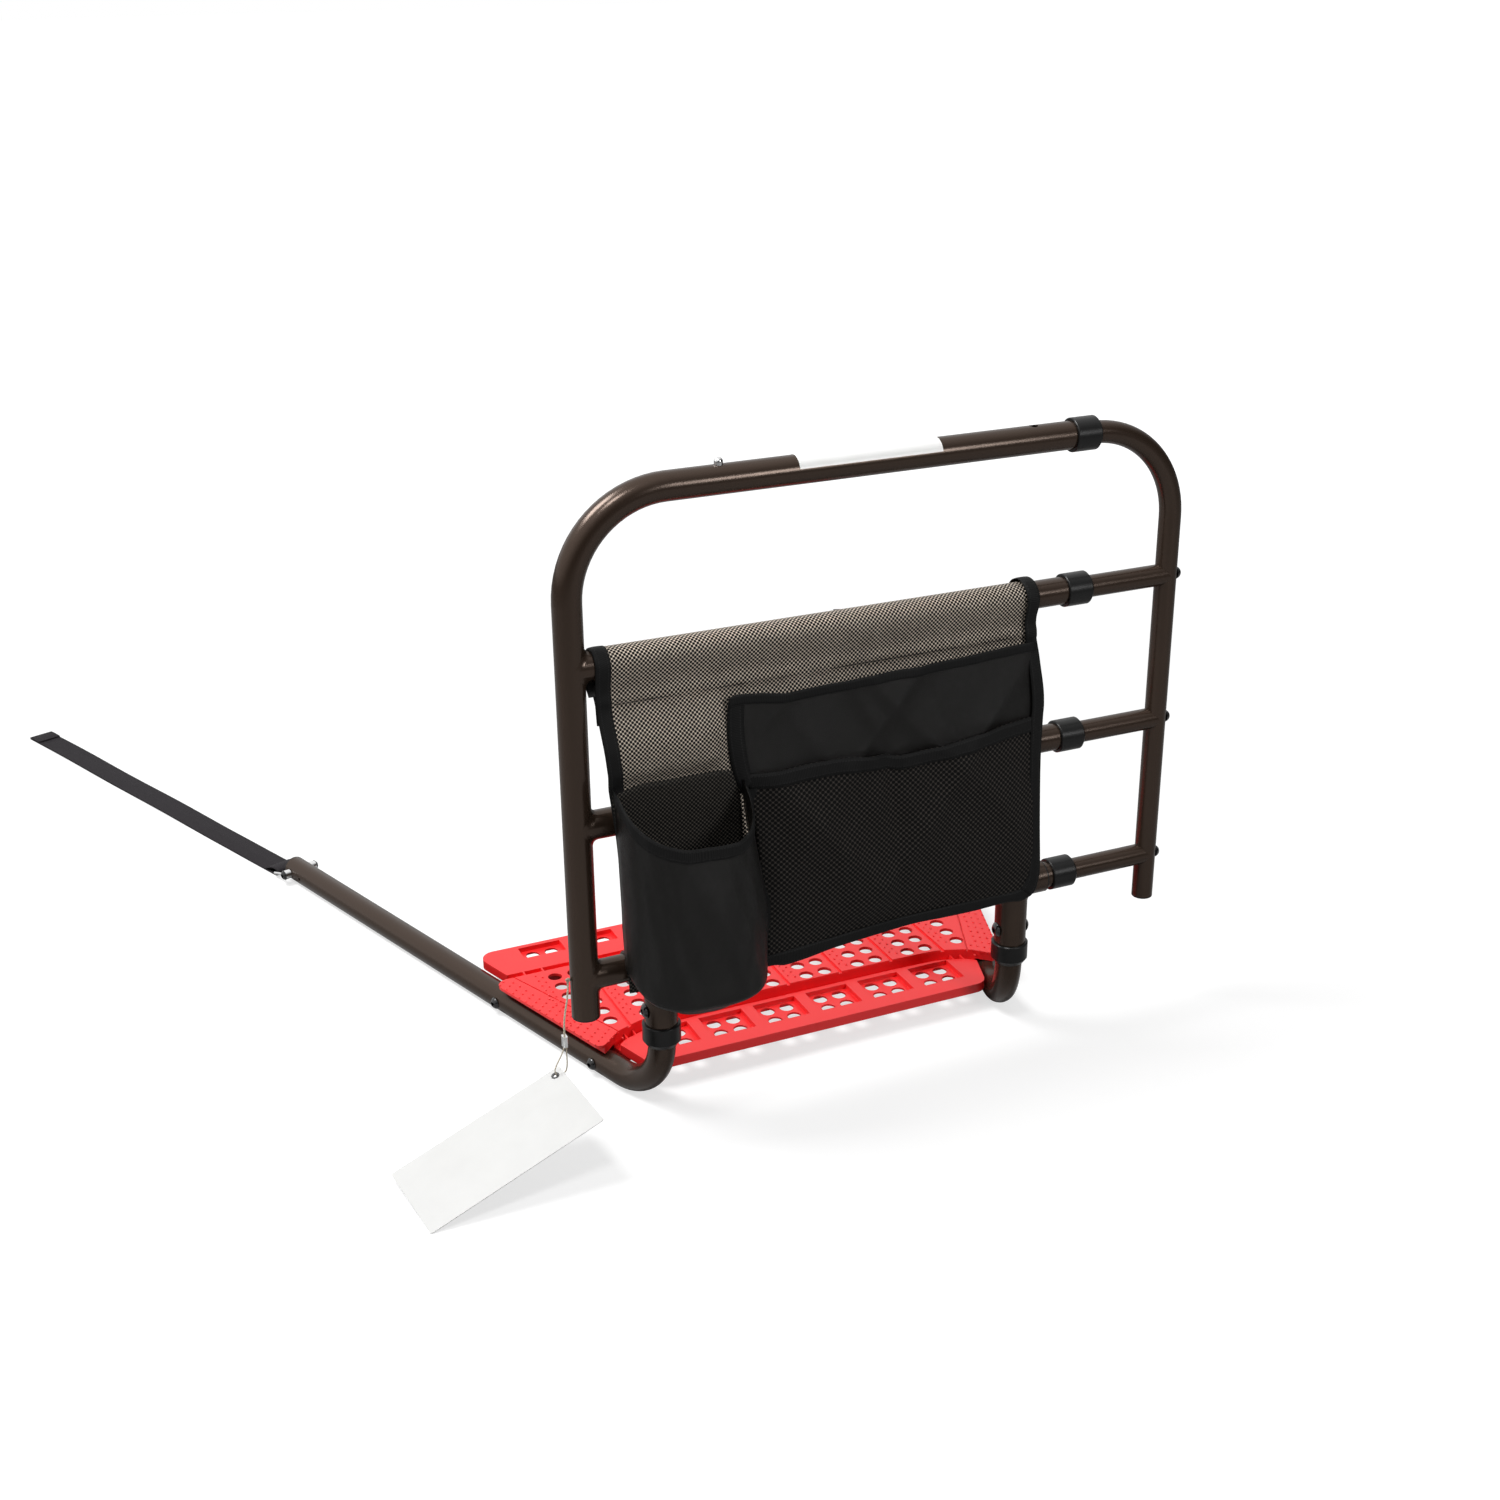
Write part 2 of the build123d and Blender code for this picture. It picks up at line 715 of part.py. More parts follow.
def platform_board():
    """The moulded board between the legs: two wings with pockets, and a plateau."""
    plateau = plateau_plan()
    inside = between_legs(board_front, board_rear, board_to_leg)
    inside = fillet(inside.vertices(), wing_corner)
    body = layer(inside, board_bottom, wing_top)
    body += layer(plateau & inside, board_bottom, plateau_top)
    over_legs = between_legs(0, board_rear, -pad_overhang)
    body += layer(plateau & over_legs, leg_od / 2 + seat_gap, plateau_top)
    body += layer(plateau, lip_bottom, plateau_top)

    strip = Pos(0, plateau_rear + rear_trench / 2) * Rectangle(4 * post_spacing, rear_trench)
    trench = (offset(plateau, trench_width) + strip) & inside
    trench -= plateau
    body -= layer(trench, trench_top, wing_top)

    front_pockets = pockets_that_fit(front_pocket[0])
    rear_pockets = pockets_that_fit(rear_pocket[0])
    pockets = pocket_plan(front_pockets, front_pocket) + pocket_plan(rear_pockets, rear_pocket)
    body -= layer(Sketch() + pockets, pocket_floor_top, wing_top)
    holes = pocket_holes(front_pockets, front_pocket_rows)
    holes += pocket_holes(rear_pockets, rear_pocket_rows)
    holes += plateau_holes()
    body -= layer(Sketch() + holes, 0, plateau_top)

    # Underside: wing cells round the pockets, shallow cells below them, plateau cells.
    wings = inside - offset(plateau, trench_width) - strip
    walls = pocket_plan(front_pockets, front_pocket, rib_wall)
    walls += pocket_plan(rear_pockets, rear_pocket, rib_wall)
    cells = offset(wings.faces().sort_by(Axis.Y)[0], -board_wall)
    cells += offset(wings.faces().sort_by(Axis.Y)[-1], -board_wall)
    body -= layer(cells - walls, 0, wing_top - board_wall)
    body -= layer(Sketch() + pockets, 0, pocket_floor_top - pocket_floor)
    modules = Rectangle(module_pitch - rib_wall, 2 * board_rear)
    columns = Sketch() + [Pos(x, 0) * modules for x in module_centres(plateau_modules() + 2)]
    room = offset(plateau, -board_wall) & between_legs(0, board_rear, board_to_leg + board_wall)
    body -= layer(room & columns, 0, lip_bottom)

    # Grooves on the plateau, and thin ribs across the trenches near the ends.
    for centre in module_centres(plateau_modules()):
        line = Pos(centre - groove_lead, (plateau_front + plateau_rear) / 2)
        cut = Rectangle(groove_width, plateau_rear)
        if abs(centre - groove_lead) < slant(plateau_front):
            body -= layer(line * cut, plateau_top - groove_depth, plateau_top)
    lean = degrees(atan(slant_slope))
    for side in (-1, 1):
        middle_y = (plateau_front + plateau_rear) / 2
        spot = Pos(side * slant(middle_y), middle_y) * Rot(0, 0, -side * lean)
        cut = Rectangle(slant_groove_width, 2 * plateau_rear)
        body -= layer(spot * cut, plateau_top - groove_depth, plateau_top)
    ribs = Sketch() + [
        Pos(side * x, plateau_front) * Rectangle(trench_rib_wall, 3 * plateau_front)
        for side in (-1, 1)
        for x in [post_x + place for place in trench_rib_places]
    ]
    body += layer(ribs & trench, board_bottom, wing_top)

    # Bosses that the side bolts screw into.
    for side in (-1, 1):
        for along in board_bolt_stations:
            place = leg_place(side, along, -(leg_od / 2 + seat_gap))
            height = boss_depth + trench_top
            block = Box(boss_length, height, boss_width, align=(Align.MAX, Align.MIN, Align.CENTER))
            foot = Plane(
                origin=place.origin - Vector(0, 0, boss_depth),
                x_dir=place.x_dir,
                z_dir=place.z_dir,
            )
            lift = 1 if foot.y_dir.Z > 0 else -1
            if lift < 0:
                block = mirror(block, Plane.XZ)
            body += foot * block
            reach = -(leg_od / 2 + seat_gap + board_bolt_grip)
            body -= across_leg(side, along, board_bolt_d + 2 * press_gap, reach, 0)
    return body


# ---- Straps ----
def strap_ring(side):
    """The wire ring hinged on a strap bolt, which carries the strap's end."""
    arm = ring_arm_gap / 2 + ring_wire_d / 2
    bolt_at = leg_reach - ring_bolt_setback
    near = [leg_place(side, bolt_at, s * arm).origin for s in (-1, 1)]
    far = [
        leg_place(side, bolt_at + ring_reach, s * arm, ring_bar_height).origin for s in (-1, 1)
    ]
    path = FilletPolyline(near[0], far[0], far[1], near[1], radius=ring_corner)
    start = Plane(origin=path @ 0, z_dir=path % 0)
    body = sweep(start * Circle(ring_wire_d / 2), path=path)
    inner = leg_od / 2 + seat_gap
    outer = ring_arm_gap / 2 + ring_wire_d + ring_eye_margin
    body += across_leg(side, bolt_at, ring_eye_d, inner, outer)
    body += across_leg(side, bolt_at, ring_eye_d, -outer, -inner)
    return body - across_leg(side, bolt_at, ring_bolt_d + 2 * bolt_clearance, -outer, outer)


def ring_bolts():
    """The bolts that carry the strap rings, domed at both ends."""
    shapes = []
    half = ring_arm_gap / 2 + ring_wire_d + ring_eye_margin + seat_gap
    head = domed_head(ring_bolt_head_d, ring_bolt_head_height)
    for side in (-1, 1):
        along = leg_reach - ring_bolt_setback
        body = across_leg(side, along, ring_bolt_d, -half, half)
        for end in (-1, 1):
            facing = Vector(end * side * splay_cos, -end * splay_sin, 0)
            seat = leg_place(side, along, end * half).origin
            body += Plane(origin=seat, z_dir=facing) * head
        shapes.append(body)
    return shapes


def strap_plane(side):
    """A plane upright along a strap: x along it from the ring's bar, y up."""
    bar = leg_place(side, leg_reach - ring_bolt_setback + ring_reach, 0, 0).origin
    turn = radians(leg_splay + strap_turn)
    ahead = Vector(side * sin(turn), cos(turn), 0)
    across = ahead.cross(Vector(0, 0, 1))
    return Plane(origin=bar, x_dir=ahead, z_dir=across)


def strap(side):
    """One flat webbing strap: a loop round the ring's bar, then flat on the floor."""
    eye = ring_wire_d / 2 + strap_thickness / 2 + strap_loop_gap
    low = strap_thickness / 2
    line = FilletPolyline(
        (eye + strap_return, low + strap_thickness + strap_ply_gap),
        (eye + strap_lift, ring_bar_height + eye + strap_ply_gap),
        (-eye, ring_bar_height + eye),
        (-eye, ring_bar_height - eye),
        (eye + strap_lift - strap_thickness, low),
        (strap_length, low),
        radius=[strap_bend, eye * strap_loop_bend, eye * strap_loop_bend, strap_bend],
    )
    place = strap_plane(side)
    band = trace(line, strap_thickness)
    shape = extrude(place * band, strap_width)
    return Pos(*(place.z_dir * (-strap_width / 2))) * shape


def strap_tabs():
    """The doubled tabs sewn on the straps' far ends."""
    shapes = []
    for side in (-1, 1):
        place = strap_plane(side)
        low = strap_thickness + press_gap
        tab = Box(
            strap_tab_length,
            strap_tab_thickness,
            strap_width,
            align=(Align.MAX, Align.MIN, Align.CENTER),
        )
        shapes.append(place * Pos(strap_length, low, 0) * tab)
    return shapes


# ---- Pouch ----
def front_outline(points):
    """A plan of a pouch piece seen from the front: (x from the left upright, z)."""
    corners = [(on_rail(x), pivot_height + z) for x, z in points]
    return make_face(Polyline(*corners, close=True))


def from_front(plan, near, far):
    """A front view plan extruded between two distances before the rail's plane."""
    view = Plane(origin=(0, -near, 0), x_dir=(1, 0, 0), z_dir=(0, -1, 0))
    return extrude(view * plan, far - near)


def on_panel(points):
    """Places on the panel, given from its left side: its middle stretches with its width."""
    spare = pouch_right - pouch_left - panel_width
    start, end = stretch_zone
    shares = [min(max((x - start) / (end - start), 0), 1) for x, z in points]
    return [(pouch_left + x + spare * share, z) for (x, z), share in zip(points, shares)]


def panel_plan():
    """The pouch panel's outline, wider at its top."""
    bar = 2 * bar_pitch + 3 * frame_tube_od
    points = [(pouch_left, bar)] + on_panel(panel_taper)
    points += [(pouch_right, panel_taper[0][1]), (pouch_right, bar)]
    return front_outline(points)


def sleeve_return(length):
    """The sleeve's end: from behind the bar, under it, and down the panel's back."""
    bar = 2 * bar_pitch
    tail = panel_back - panel_thickness / 2 - press_gap
    leaving = radians(sleeve_leaving)
    return FilletPolyline(
        (sleeve_radius * cos(leaving), bar - sleeve_radius * sin(leaving)),
        (-tail + tail_step, bar - panel_slope + tail_step),
        (-tail, bar - panel_slope - tail_drop),
        (-tail, bar - panel_slope - tail_drop - length),
        radius=tail_bends,
    )


def pouch_panel():
    """The mesh panel and the sleeve of mesh that hangs it on the upper bar."""
    around = sleeve_radius
    bar = 2 * bar_pitch
    face_y = panel_back + panel_thickness / 2
    over = CenterArc((0, bar), around, -sleeve_leaving, 180 + sleeve_leaving)
    front = FilletPolyline(
        (-around, bar), (-face_y, bar - panel_slope), (-face_y, -panel_slope * 2), radius=panel_bend
    )
    sheet = trace(over, panel_thickness) + trace(front, panel_thickness)
    sheet += trace(sleeve_return(tail_length), panel_thickness)
    side = Plane(origin=(on_rail(0), 0, pivot_height), x_dir=(0, 1, 0), z_dir=(1, 0, 0))
    body = extrude(side * sheet, frame_length)
    return body & from_front(panel_plan(), -2 * frame_tube_od, 2 * frame_tube_od)


def panel_face():
    """Distance of the panel's front face from the rail's plane."""
    return panel_back + panel_thickness


def pouch_binding():
    """The tape round the panel's sides and bottom."""
    ring = panel_plan() - offset(panel_plan(), -binding_width)
    top = 2 * bar_pitch - panel_slope
    low = front_outline([(0, -top), (0, top), (frame_length, top), (frame_length, -top)])
    near = panel_face() + press_gap
    return from_front(ring & low, near, near + binding_thickness)


def open_top_pocket(plan, near, depth, wall):
    """A pocket cut open along its upper edge."""
    body = from_front(plan, near, near + depth)
    inner = offset(plan, -wall)
    room = from_front(inner, near, near + depth - wall)
    raised = Pos(0, 2 * wall) * inner
    rest = from_front(raised, near, near + depth - wall)
    return body - room - rest


def nylon_pocket():
    """The large nylon pocket on the panel."""
    near = panel_face() + press_gap
    plan = front_outline(on_panel(pocket_edge))
    return open_top_pocket(plan, near, pocket_depth, pocket_wall)


def mesh_pocket():
    """The mesh pocket on the nylon one, with the seam that halves it."""
    near = panel_face() + pocket_depth + 2 * press_gap
    plan = front_outline(on_panel(mesh_pocket_edge))
    body = open_top_pocket(plan, near, mesh_pocket_depth, mesh_pocket_wall)
    left = mesh_seam - mesh_seam_width / 2
    right = mesh_seam + mesh_seam_width / 2
    line = [(left, mesh_seam_low), (right, mesh_seam_low), (right, mesh_seam_top), (left, mesh_seam_top)]
    return body + from_front(front_outline(on_panel(line)), near, near + mesh_pocket_depth)


def cup_back():
    """Distance of the cup pocket's back from the rail's plane: it lies on the tape."""
    return panel_face() + binding_thickness + 2 * press_gap


def cup_plan(shrink, wall):
    """Half an ellipse in front of the panel, seen from above."""
    half = (cup_right - cup_left) / 2 - shrink - wall
    depth = cup_depth - shrink - 2 * wall
    face = Ellipse(half, depth) - Pos(0, depth) * Rectangle(4 * half, 2 * depth)
    return face


def cup_pocket():
    """The deep cup holder pocket."""
    near = cup_back()
    centre = on_rail((cup_left + cup_right) / 2)
    low = Plane.XY.offset(pivot_height + cup_bottom)
    high = Plane.XY.offset(pivot_height + cup_rim_back)
    outer = loft([low * cup_plan(cup_narrowing, 0), high * cup_plan(0, 0)])
    floor = Plane.XY.offset(pivot_height + cup_bottom + cup_wall)
    inner = loft([floor * cup_plan(cup_narrowing, cup_wall), high * cup_plan(0, cup_wall)])
    inner = Pos(0, -cup_wall, 0) * inner
    body = outer - inner
    rim = Plane(origin=(0, 0, 0), x_dir=(0, 1, 0), z_dir=(1, 0, 0))
    over = make_face(
        Polyline(
            (0, pivot_height + cup_rim_back),
            (-cup_depth, pivot_height + cup_rim_front),
            (-2 * cup_depth, pivot_height + cup_rim_front),
            (-2 * cup_depth, 2 * top_height),
            (0, 2 * top_height),
            close=True,
        )
    )
    body -= extrude(rim * over, frame_length, both=True)
    return Pos(centre, -near, 0) * body


def pouch_tab():
    """The end of the hook and loop tape that closes the panel's sleeve."""
    right = pouch_left - press_gap
    left = right - tab_outreach
    side = Plane(origin=(on_rail(left), 0, pivot_height), x_dir=(0, 1, 0), z_dir=(1, 0, 0))
    strip = extrude(side * trace(sleeve_return(tail_length), panel_thickness), tab_outreach)
    top = 2 * bar_pitch
    low = top - tab_drop
    window = front_outline([(left, low), (left, top), (right, top), (right, low)])
    return strip & from_front(window, -frame_tube_od, frame_tube_od)


# ---- Hang tag ----
def tag_frame():
    """The card's frame: origin at the eyelet, x down the card, y across it to the front."""
    slope = radians(tag_slope)
    heading = radians(tag_heading)
    roll = radians(tag_roll)
    ahead = Vector(-cos(heading), -sin(heading), 0)
    down = ahead * cos(slope) - Vector(0, 0, sin(slope))
    flat_facing = ahead * sin(slope) + Vector(0, 0, cos(slope))
    level = Vector(sin(heading), -cos(heading), 0)
    facing = flat_facing * cos(roll) + level * sin(roll)
    across = level * cos(roll) - flat_facing * sin(roll)
    height = -(tag_length - eyelet_margin) * down.Z - (tag_width - eyelet_margin) * across.Z
    height += tag_thickness / 2 * facing.Z
    return Plane(origin=(left_x - eyelet_out, 0, height), x_dir=down, z_dir=facing)


def tag_card():
    """The bare card."""
    across = tag_width / 2 - eyelet_margin
    toward = 1 if tag_frame().y_dir.Y < 0 else -1
    plan = Pos(tag_length / 2 - eyelet_margin, toward * across) * Rectangle(tag_length, tag_width)
    plan = fillet(plan.vertices(), tag_corner)
    plan -= Circle(eyelet_barrel_d / 2 + press_gap)
    return extrude(tag_frame() * plan, tag_thickness / 2, both=True)


def tag_eyelet():
    """The metal eyelet in the card's near corner."""
    half = tag_thickness / 2 + press_gap
    body = stud(-half - eyelet_flange, half + eyelet_flange, eyelet_barrel_d)
    for end in (-1, 1):
        face = end * half
        rim = end * (half + eyelet_flange)
        body += stud(min(face, rim), max(face, rim), eyelet_flange_d)
    return tag_frame() * (body - stud(-5, 5, eyelet_bore))


def bead_middle():
    """Centre of the lanyard's bead, on the fold axis left of the upright."""
    return Vector(left_x - frame_tube_od / 2 - 0.3 - bead_d / 2, 0, pivot_height)


def tag_bead():
    """The lanyard's knot: a bead outside the upright, a stem and a knot inside it."""
    centre = bead_middle()
    inside = left_x - frame_tube_od / 2 + frame_tube_wall
    body = Pos(centre) * Sphere(bead_d / 2)
    body += rod(centre.X, inside + 3, bead_stem_d, z=pivot_height)
    knot = bead_stem_d * 2
    return body + Pos(inside + 0.4 + knot / 2, 0, pivot_height) * Sphere(knot / 2)


def ferrule_place():
    """Centre of the ferrule, below the bead and a little further out."""
    upper = Vector(bead_middle().X - 7.0, 0, pivot_height - ferrule_drop)
    return upper - Vector(0, 0, ferrule_height / 2)


def tag_cord_points():
    """The lanyard's upper run, from the bead to the ferrule."""
    centre = bead_middle()
    low = ferrule_place() + Vector(0, 0, ferrule_height / 2)
    return [
        centre - Vector(0, 0, bead_d / 2 + press_gap),
        centre - Vector(1.0, 0, 20),
        centre - Vector(5.6, 0, 42),
        low + Vector(0, 0, 11),
        low,
    ]


def cord_tube(points, d, least):
    """A cord's tube, its arcs as large as its runs allow; prints its radii and volume."""
    radii = []
    for before, here, after in zip(points, points[1:], points[2:]):
        turn = radians((here - before).get_angle(after - here))
        shorter = min((here - before).length, (after - here).length)
        radii.append(0.45 * shorter / tan(turn / 2))
    path = FilletPolyline(*points, radius=radii)
    start = Plane(origin=path @ 0, z_dir=path % 0)
    body = sweep(start * Circle(d / 2), path=path)
    section = pi * d * d / 4
    print("cord", round(path.length, 1), "mm, radii", [round(r, 1) for r in radii])
    print("  least wanted", least, "volume", round(body.volume / section / path.length, 4))
    return body


def tag_cord():
    """The lanyard between bead and ferrule."""
    return cord_tube(tag_cord_points(), tag_cord_d, 3 * tag_cord_d)


def tag_ferrule():
    """The crimp that closes the lanyard's loop."""
    box = Box(ferrule_depth, ferrule_width, ferrule_height)
    return Pos(ferrule_place()) * fillet(box.edges().filter_by(Axis.Z), 1.2)


def tag_loop_points():
    """The lanyard's loop through the eyelet, in the plane of the slope."""
    frame = tag_frame()
    eye = frame.origin - frame.x_dir * (eyelet_bore / 2 - tag_loop_d / 2 - loop_gap)
    down = frame.x_dir
    facing = frame.z_dir
    low = ferrule_place() - Vector(0, 0, ferrule_height / 2)
    return [
        low + Vector(-1.4, 0, 0),
        low + Vector(-1.4, 0, -5),
        eye + facing * 9.0 - down * 0.5,
        eye + facing * 3.2,
        eye - facing * 3.4,
        eye - facing * 4.4 - down * 8.0,
        eye - down * (eyelet_margin + 4.5),
        low + Vector(1.4, 0, -6),
        low + Vector(1.4, 0, 0),
    ]


def tag_loop():
    """The lanyard's loop."""
    return cord_tube(tag_loop_points(), tag_loop_d, tag_loop_d)


# ---- The pieces, by node name ----
sides = {"left": -1, "right": 1}
bar_names = ["upper", "middle", "lower"]
pieces = {"frame_tube": frame_tube()}
for name, z in zip(bar_names, bar_heights):
    pieces[f"outer_bar_{name}"] = outer_bar(z)
    pieces[f"inner_bar_{name}"] = inner_bar(z)
pieces["top_collar"] = end_collar(top_height)
for name, z in zip(bar_names, bar_heights):
    pieces[f"bar_collar_{name}"] = end_collar(z)
pieces["rail_label"] = rail_label()
left_foot = Pos(left_x, 0, pivot_height - left_upright_drop)
pieces["left_upright_plug"] = left_foot * plug(frame_tube_od, frame_bore)
right_foot = Pos(right_x, 0, pivot_height - right_upright_drop)
pieces["right_upright_plug"] = right_foot * plug(slide_tube_od, slide_bore)
pieces["end_frame_tube"] = end_frame_tube()
pieces["bar_saddles"] = [bar_saddle(z) for z in bar_heights]
pieces["bar_bolts"] = [bar_bolt(z) for z in bar_heights]
pieces["tube_glides"] = [tube_glide(z) for z in [top_height] + bar_heights]
pieces["spring_clip"] = spring_clip()
pieces["snap_button"] = snap_button()
for name, side in sides.items():
    pieces[f"{name}_post"] = post(side)
    pieces[f"{name}_pivot_sleeve"] = pivot_sleeve(side)
    pieces[f"{name}_post_collar"] = post_collar(side)
    pieces[f"{name}_leg"] = leg(side)
    pieces[f"{name}_leg_plug"] = leg_plug(side)
    pieces[f"{name}_strap_ring"] = strap_ring(side)
    pieces[f"{name}_strap"] = strap(side)
pieces["pivot_bushings"] = pivot_bushings()
pieces["post_rings"] = post_rings()
pieces["post_bolts"] = post_bolts()
pieces["board_bolts"] = board_bolts()
pieces["end_screws"] = end_screws()
pieces["ring_bolts"] = ring_bolts()
pieces["strap_tabs"] = strap_tabs()
pieces["platform_board"] = platform_board()
pieces["pouch_panel"] = pouch_panel()
pieces["pouch_binding"] = pouch_binding()
pieces["nylon_pocket"] = nylon_pocket()
pieces["mesh_pocket"] = mesh_pocket()
pieces["cup_pocket"] = cup_pocket()
pieces["pouch_tab"] = pouch_tab()
pieces["tag_card"] = tag_card()
pieces["tag_eyelet"] = tag_eyelet()
pieces["tag_bead"] = tag_bead()
pieces["tag_ferrule"] = tag_ferrule()
pieces["tag_cord"] = tag_cord()
pieces["tag_loop"] = tag_loop()

# ---- Placing: the origin is the centre of the footprint, without straps and tag ----
rear_y = pieces["right_strap_ring"].bounding_box().max.Y
rail_y = (cup_back() + cup_depth - rear_y) / 2

os.makedirs("parts", exist_ok=True)
for name, shape in pieces.items():
    solids = shape if isinstance(shape, list) else [shape]
    moved = [Pos(0, rail_y, 0) * solid for s in solids for solid in s.solids()]
    whole = moved[0] if len(moved) == 1 else Compound(children=moved)
    export_step(whole, f"parts/{name}.step")
print("rail plane at y =", round(rail_y, 3), "nodes", len(pieces))
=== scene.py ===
import math

import bmesh
import bpy
from bpy.props import FloatProperty, FloatVectorProperty, IntProperty, PointerProperty
from mathutils import Matrix, Vector
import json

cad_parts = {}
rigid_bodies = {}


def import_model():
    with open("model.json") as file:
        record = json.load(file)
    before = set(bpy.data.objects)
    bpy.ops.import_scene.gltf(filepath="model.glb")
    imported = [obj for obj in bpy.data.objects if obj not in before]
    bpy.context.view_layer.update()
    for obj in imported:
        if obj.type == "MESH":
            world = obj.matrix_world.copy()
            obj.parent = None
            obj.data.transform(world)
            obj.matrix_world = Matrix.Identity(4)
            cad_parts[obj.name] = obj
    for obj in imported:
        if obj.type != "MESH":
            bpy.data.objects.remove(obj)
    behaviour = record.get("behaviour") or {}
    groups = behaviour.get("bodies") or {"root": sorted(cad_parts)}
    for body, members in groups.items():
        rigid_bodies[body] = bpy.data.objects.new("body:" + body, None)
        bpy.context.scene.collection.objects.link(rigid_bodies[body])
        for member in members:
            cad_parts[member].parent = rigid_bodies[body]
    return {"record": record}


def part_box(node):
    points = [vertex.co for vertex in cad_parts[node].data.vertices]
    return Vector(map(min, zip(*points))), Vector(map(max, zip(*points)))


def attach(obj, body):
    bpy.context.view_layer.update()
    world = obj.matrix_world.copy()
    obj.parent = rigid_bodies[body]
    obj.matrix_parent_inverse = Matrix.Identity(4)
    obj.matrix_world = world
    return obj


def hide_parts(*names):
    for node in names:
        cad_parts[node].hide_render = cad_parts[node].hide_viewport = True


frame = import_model()

bl_info = {
    "name": "Bed assist rail",
    "version": (1, 0, 0),
    "blender": (4, 5, 0),
    "location": "3D View > Sidebar > Bed rail",
    "description": "Dresses a folding bed rail with its pouch, straps, fasteners and finishes",
    "category": "Object",
}

MM = 0.001

# ---- Places taken from the frame ----
tube_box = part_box("frame_tube")
low_bar_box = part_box("outer_bar_lower")
high_bar_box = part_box("outer_bar_upper")
tube_r = (low_bar_box[1][2] - low_bar_box[0][2]) / 2
left_x = tube_box[0][0] + tube_r
rail_y = (low_bar_box[0][1] + low_bar_box[1][1]) / 2
pivot_z = (low_bar_box[0][2] + low_bar_box[1][2]) / 2
bar_pitch = (high_bar_box[0][2] - low_bar_box[0][2]) / 2
bar_rise = 2 * bar_pitch / MM  # lower bar's axis to the upper bar's, mm


def spot(s, out, h):
    """Metres in the frame: s from the left upright, out before the rail, h over the low bar."""
    return Vector((left_x + s * MM, rail_y - out * MM, pivot_z + h * MM))


def blend(a, b, share):
    """The value that lies share of the way from a to b."""
    return a + (b - a) * share


def smooth_step(x):
    """0 below 0, 1 above 1, and an S between."""
    x = min(max(x, 0.0), 1.0)
    return x * x * (3 - 2 * x)


# ---- Sizes and colours that a user would change ----
class RailPouchSizes(bpy.types.PropertyGroup):
    """The pouch: its fabric, its pockets and its tape."""

    cloth: FloatProperty(
        name="Cloth", description="Thickness of the pockets' cloth", default=0.0006, unit="LENGTH"
    )
    mesh: FloatProperty(
        name="Mesh", description="Thickness of the panel's mesh", default=0.0012, unit="LENGTH"
    )
    tape: FloatProperty(
        name="Tape", description="Thickness of the binding tape", default=0.0008, unit="LENGTH"
    )
    columns: IntProperty(name="Columns", description="Grid columns of the panel", default=96, min=8)


class RailColours(bpy.types.PropertyGroup):
    """The colours of the finishes."""

    frame: FloatVectorProperty(
        name="Frame", description="Bronze coat", subtype="COLOR", size=3, default=(0.048, 0.0300, 0.0205)
    )
    board: FloatVectorProperty(
        name="Board", description="Red moulding", subtype="COLOR", size=3, default=(0.90, 0.020, 0.022)
    )
    webbing: FloatVectorProperty(
        name="Webbing", description="Straps", subtype="COLOR", size=3, default=(0.010, 0.0080, 0.0100)
    )
    thread: FloatVectorProperty(
        name="Thread", description="The mesh's pale threads", subtype="COLOR", size=3,
        default=(0.92, 0.80, 0.67)
    )
    nylon: FloatVectorProperty(
        name="Nylon", description="Pockets", subtype="COLOR", size=3, default=(0.0042, 0.0036, 0.0032)
    )


# ---- Shader maths ----
class Signal:
    """A socket that can be used in Python arithmetic; every step adds one Math node."""

    def __init__(self, finish, socket):
        self.finish = finish
        self.socket = socket

    def maths(self, operation, *others):
        node = self.finish.node("ShaderNodeMath", {"operation": operation}, self, *others)
        return self.finish.out(node)

    def __add__(self, other):
        return self.maths("ADD", other)

    __radd__ = __add__

    def __sub__(self, other):
        return self.maths("SUBTRACT", other)

    def __rsub__(self, other):
        return (self * -1.0) + other

    def __mul__(self, other):
        return self.maths("MULTIPLY", other)

    __rmul__ = __mul__

    def __truediv__(self, other):
        return self.maths("DIVIDE", other)

    def __gt__(self, other):
        return self.maths("GREATER_THAN", other)

    def __lt__(self, other):
        return self.maths("LESS_THAN", other)

    def __abs__(self):
        return self.maths("ABSOLUTE")

    def __mod__(self, other):
        return self.maths("FLOORED_MODULO", other)

    def sine(self):
        return self.maths("SINE")

    def power(self, other):
        return self.maths("POWER", other)

    def least(self, other):
        return self.maths("MINIMUM", other)

    def most(self, other):
        return self.maths("MAXIMUM", other)

    def ramp(self, low, high, start=0.0, end=1.0):
        """This value carried from low..high to start..end, with an S between and no more beyond."""
        node = self.finish.node(
            "ShaderNodeMapRange", {"interpolation_type": "SMOOTHSTEP"}, self, low, high, start, end
        )
        return self.finish.out(node)


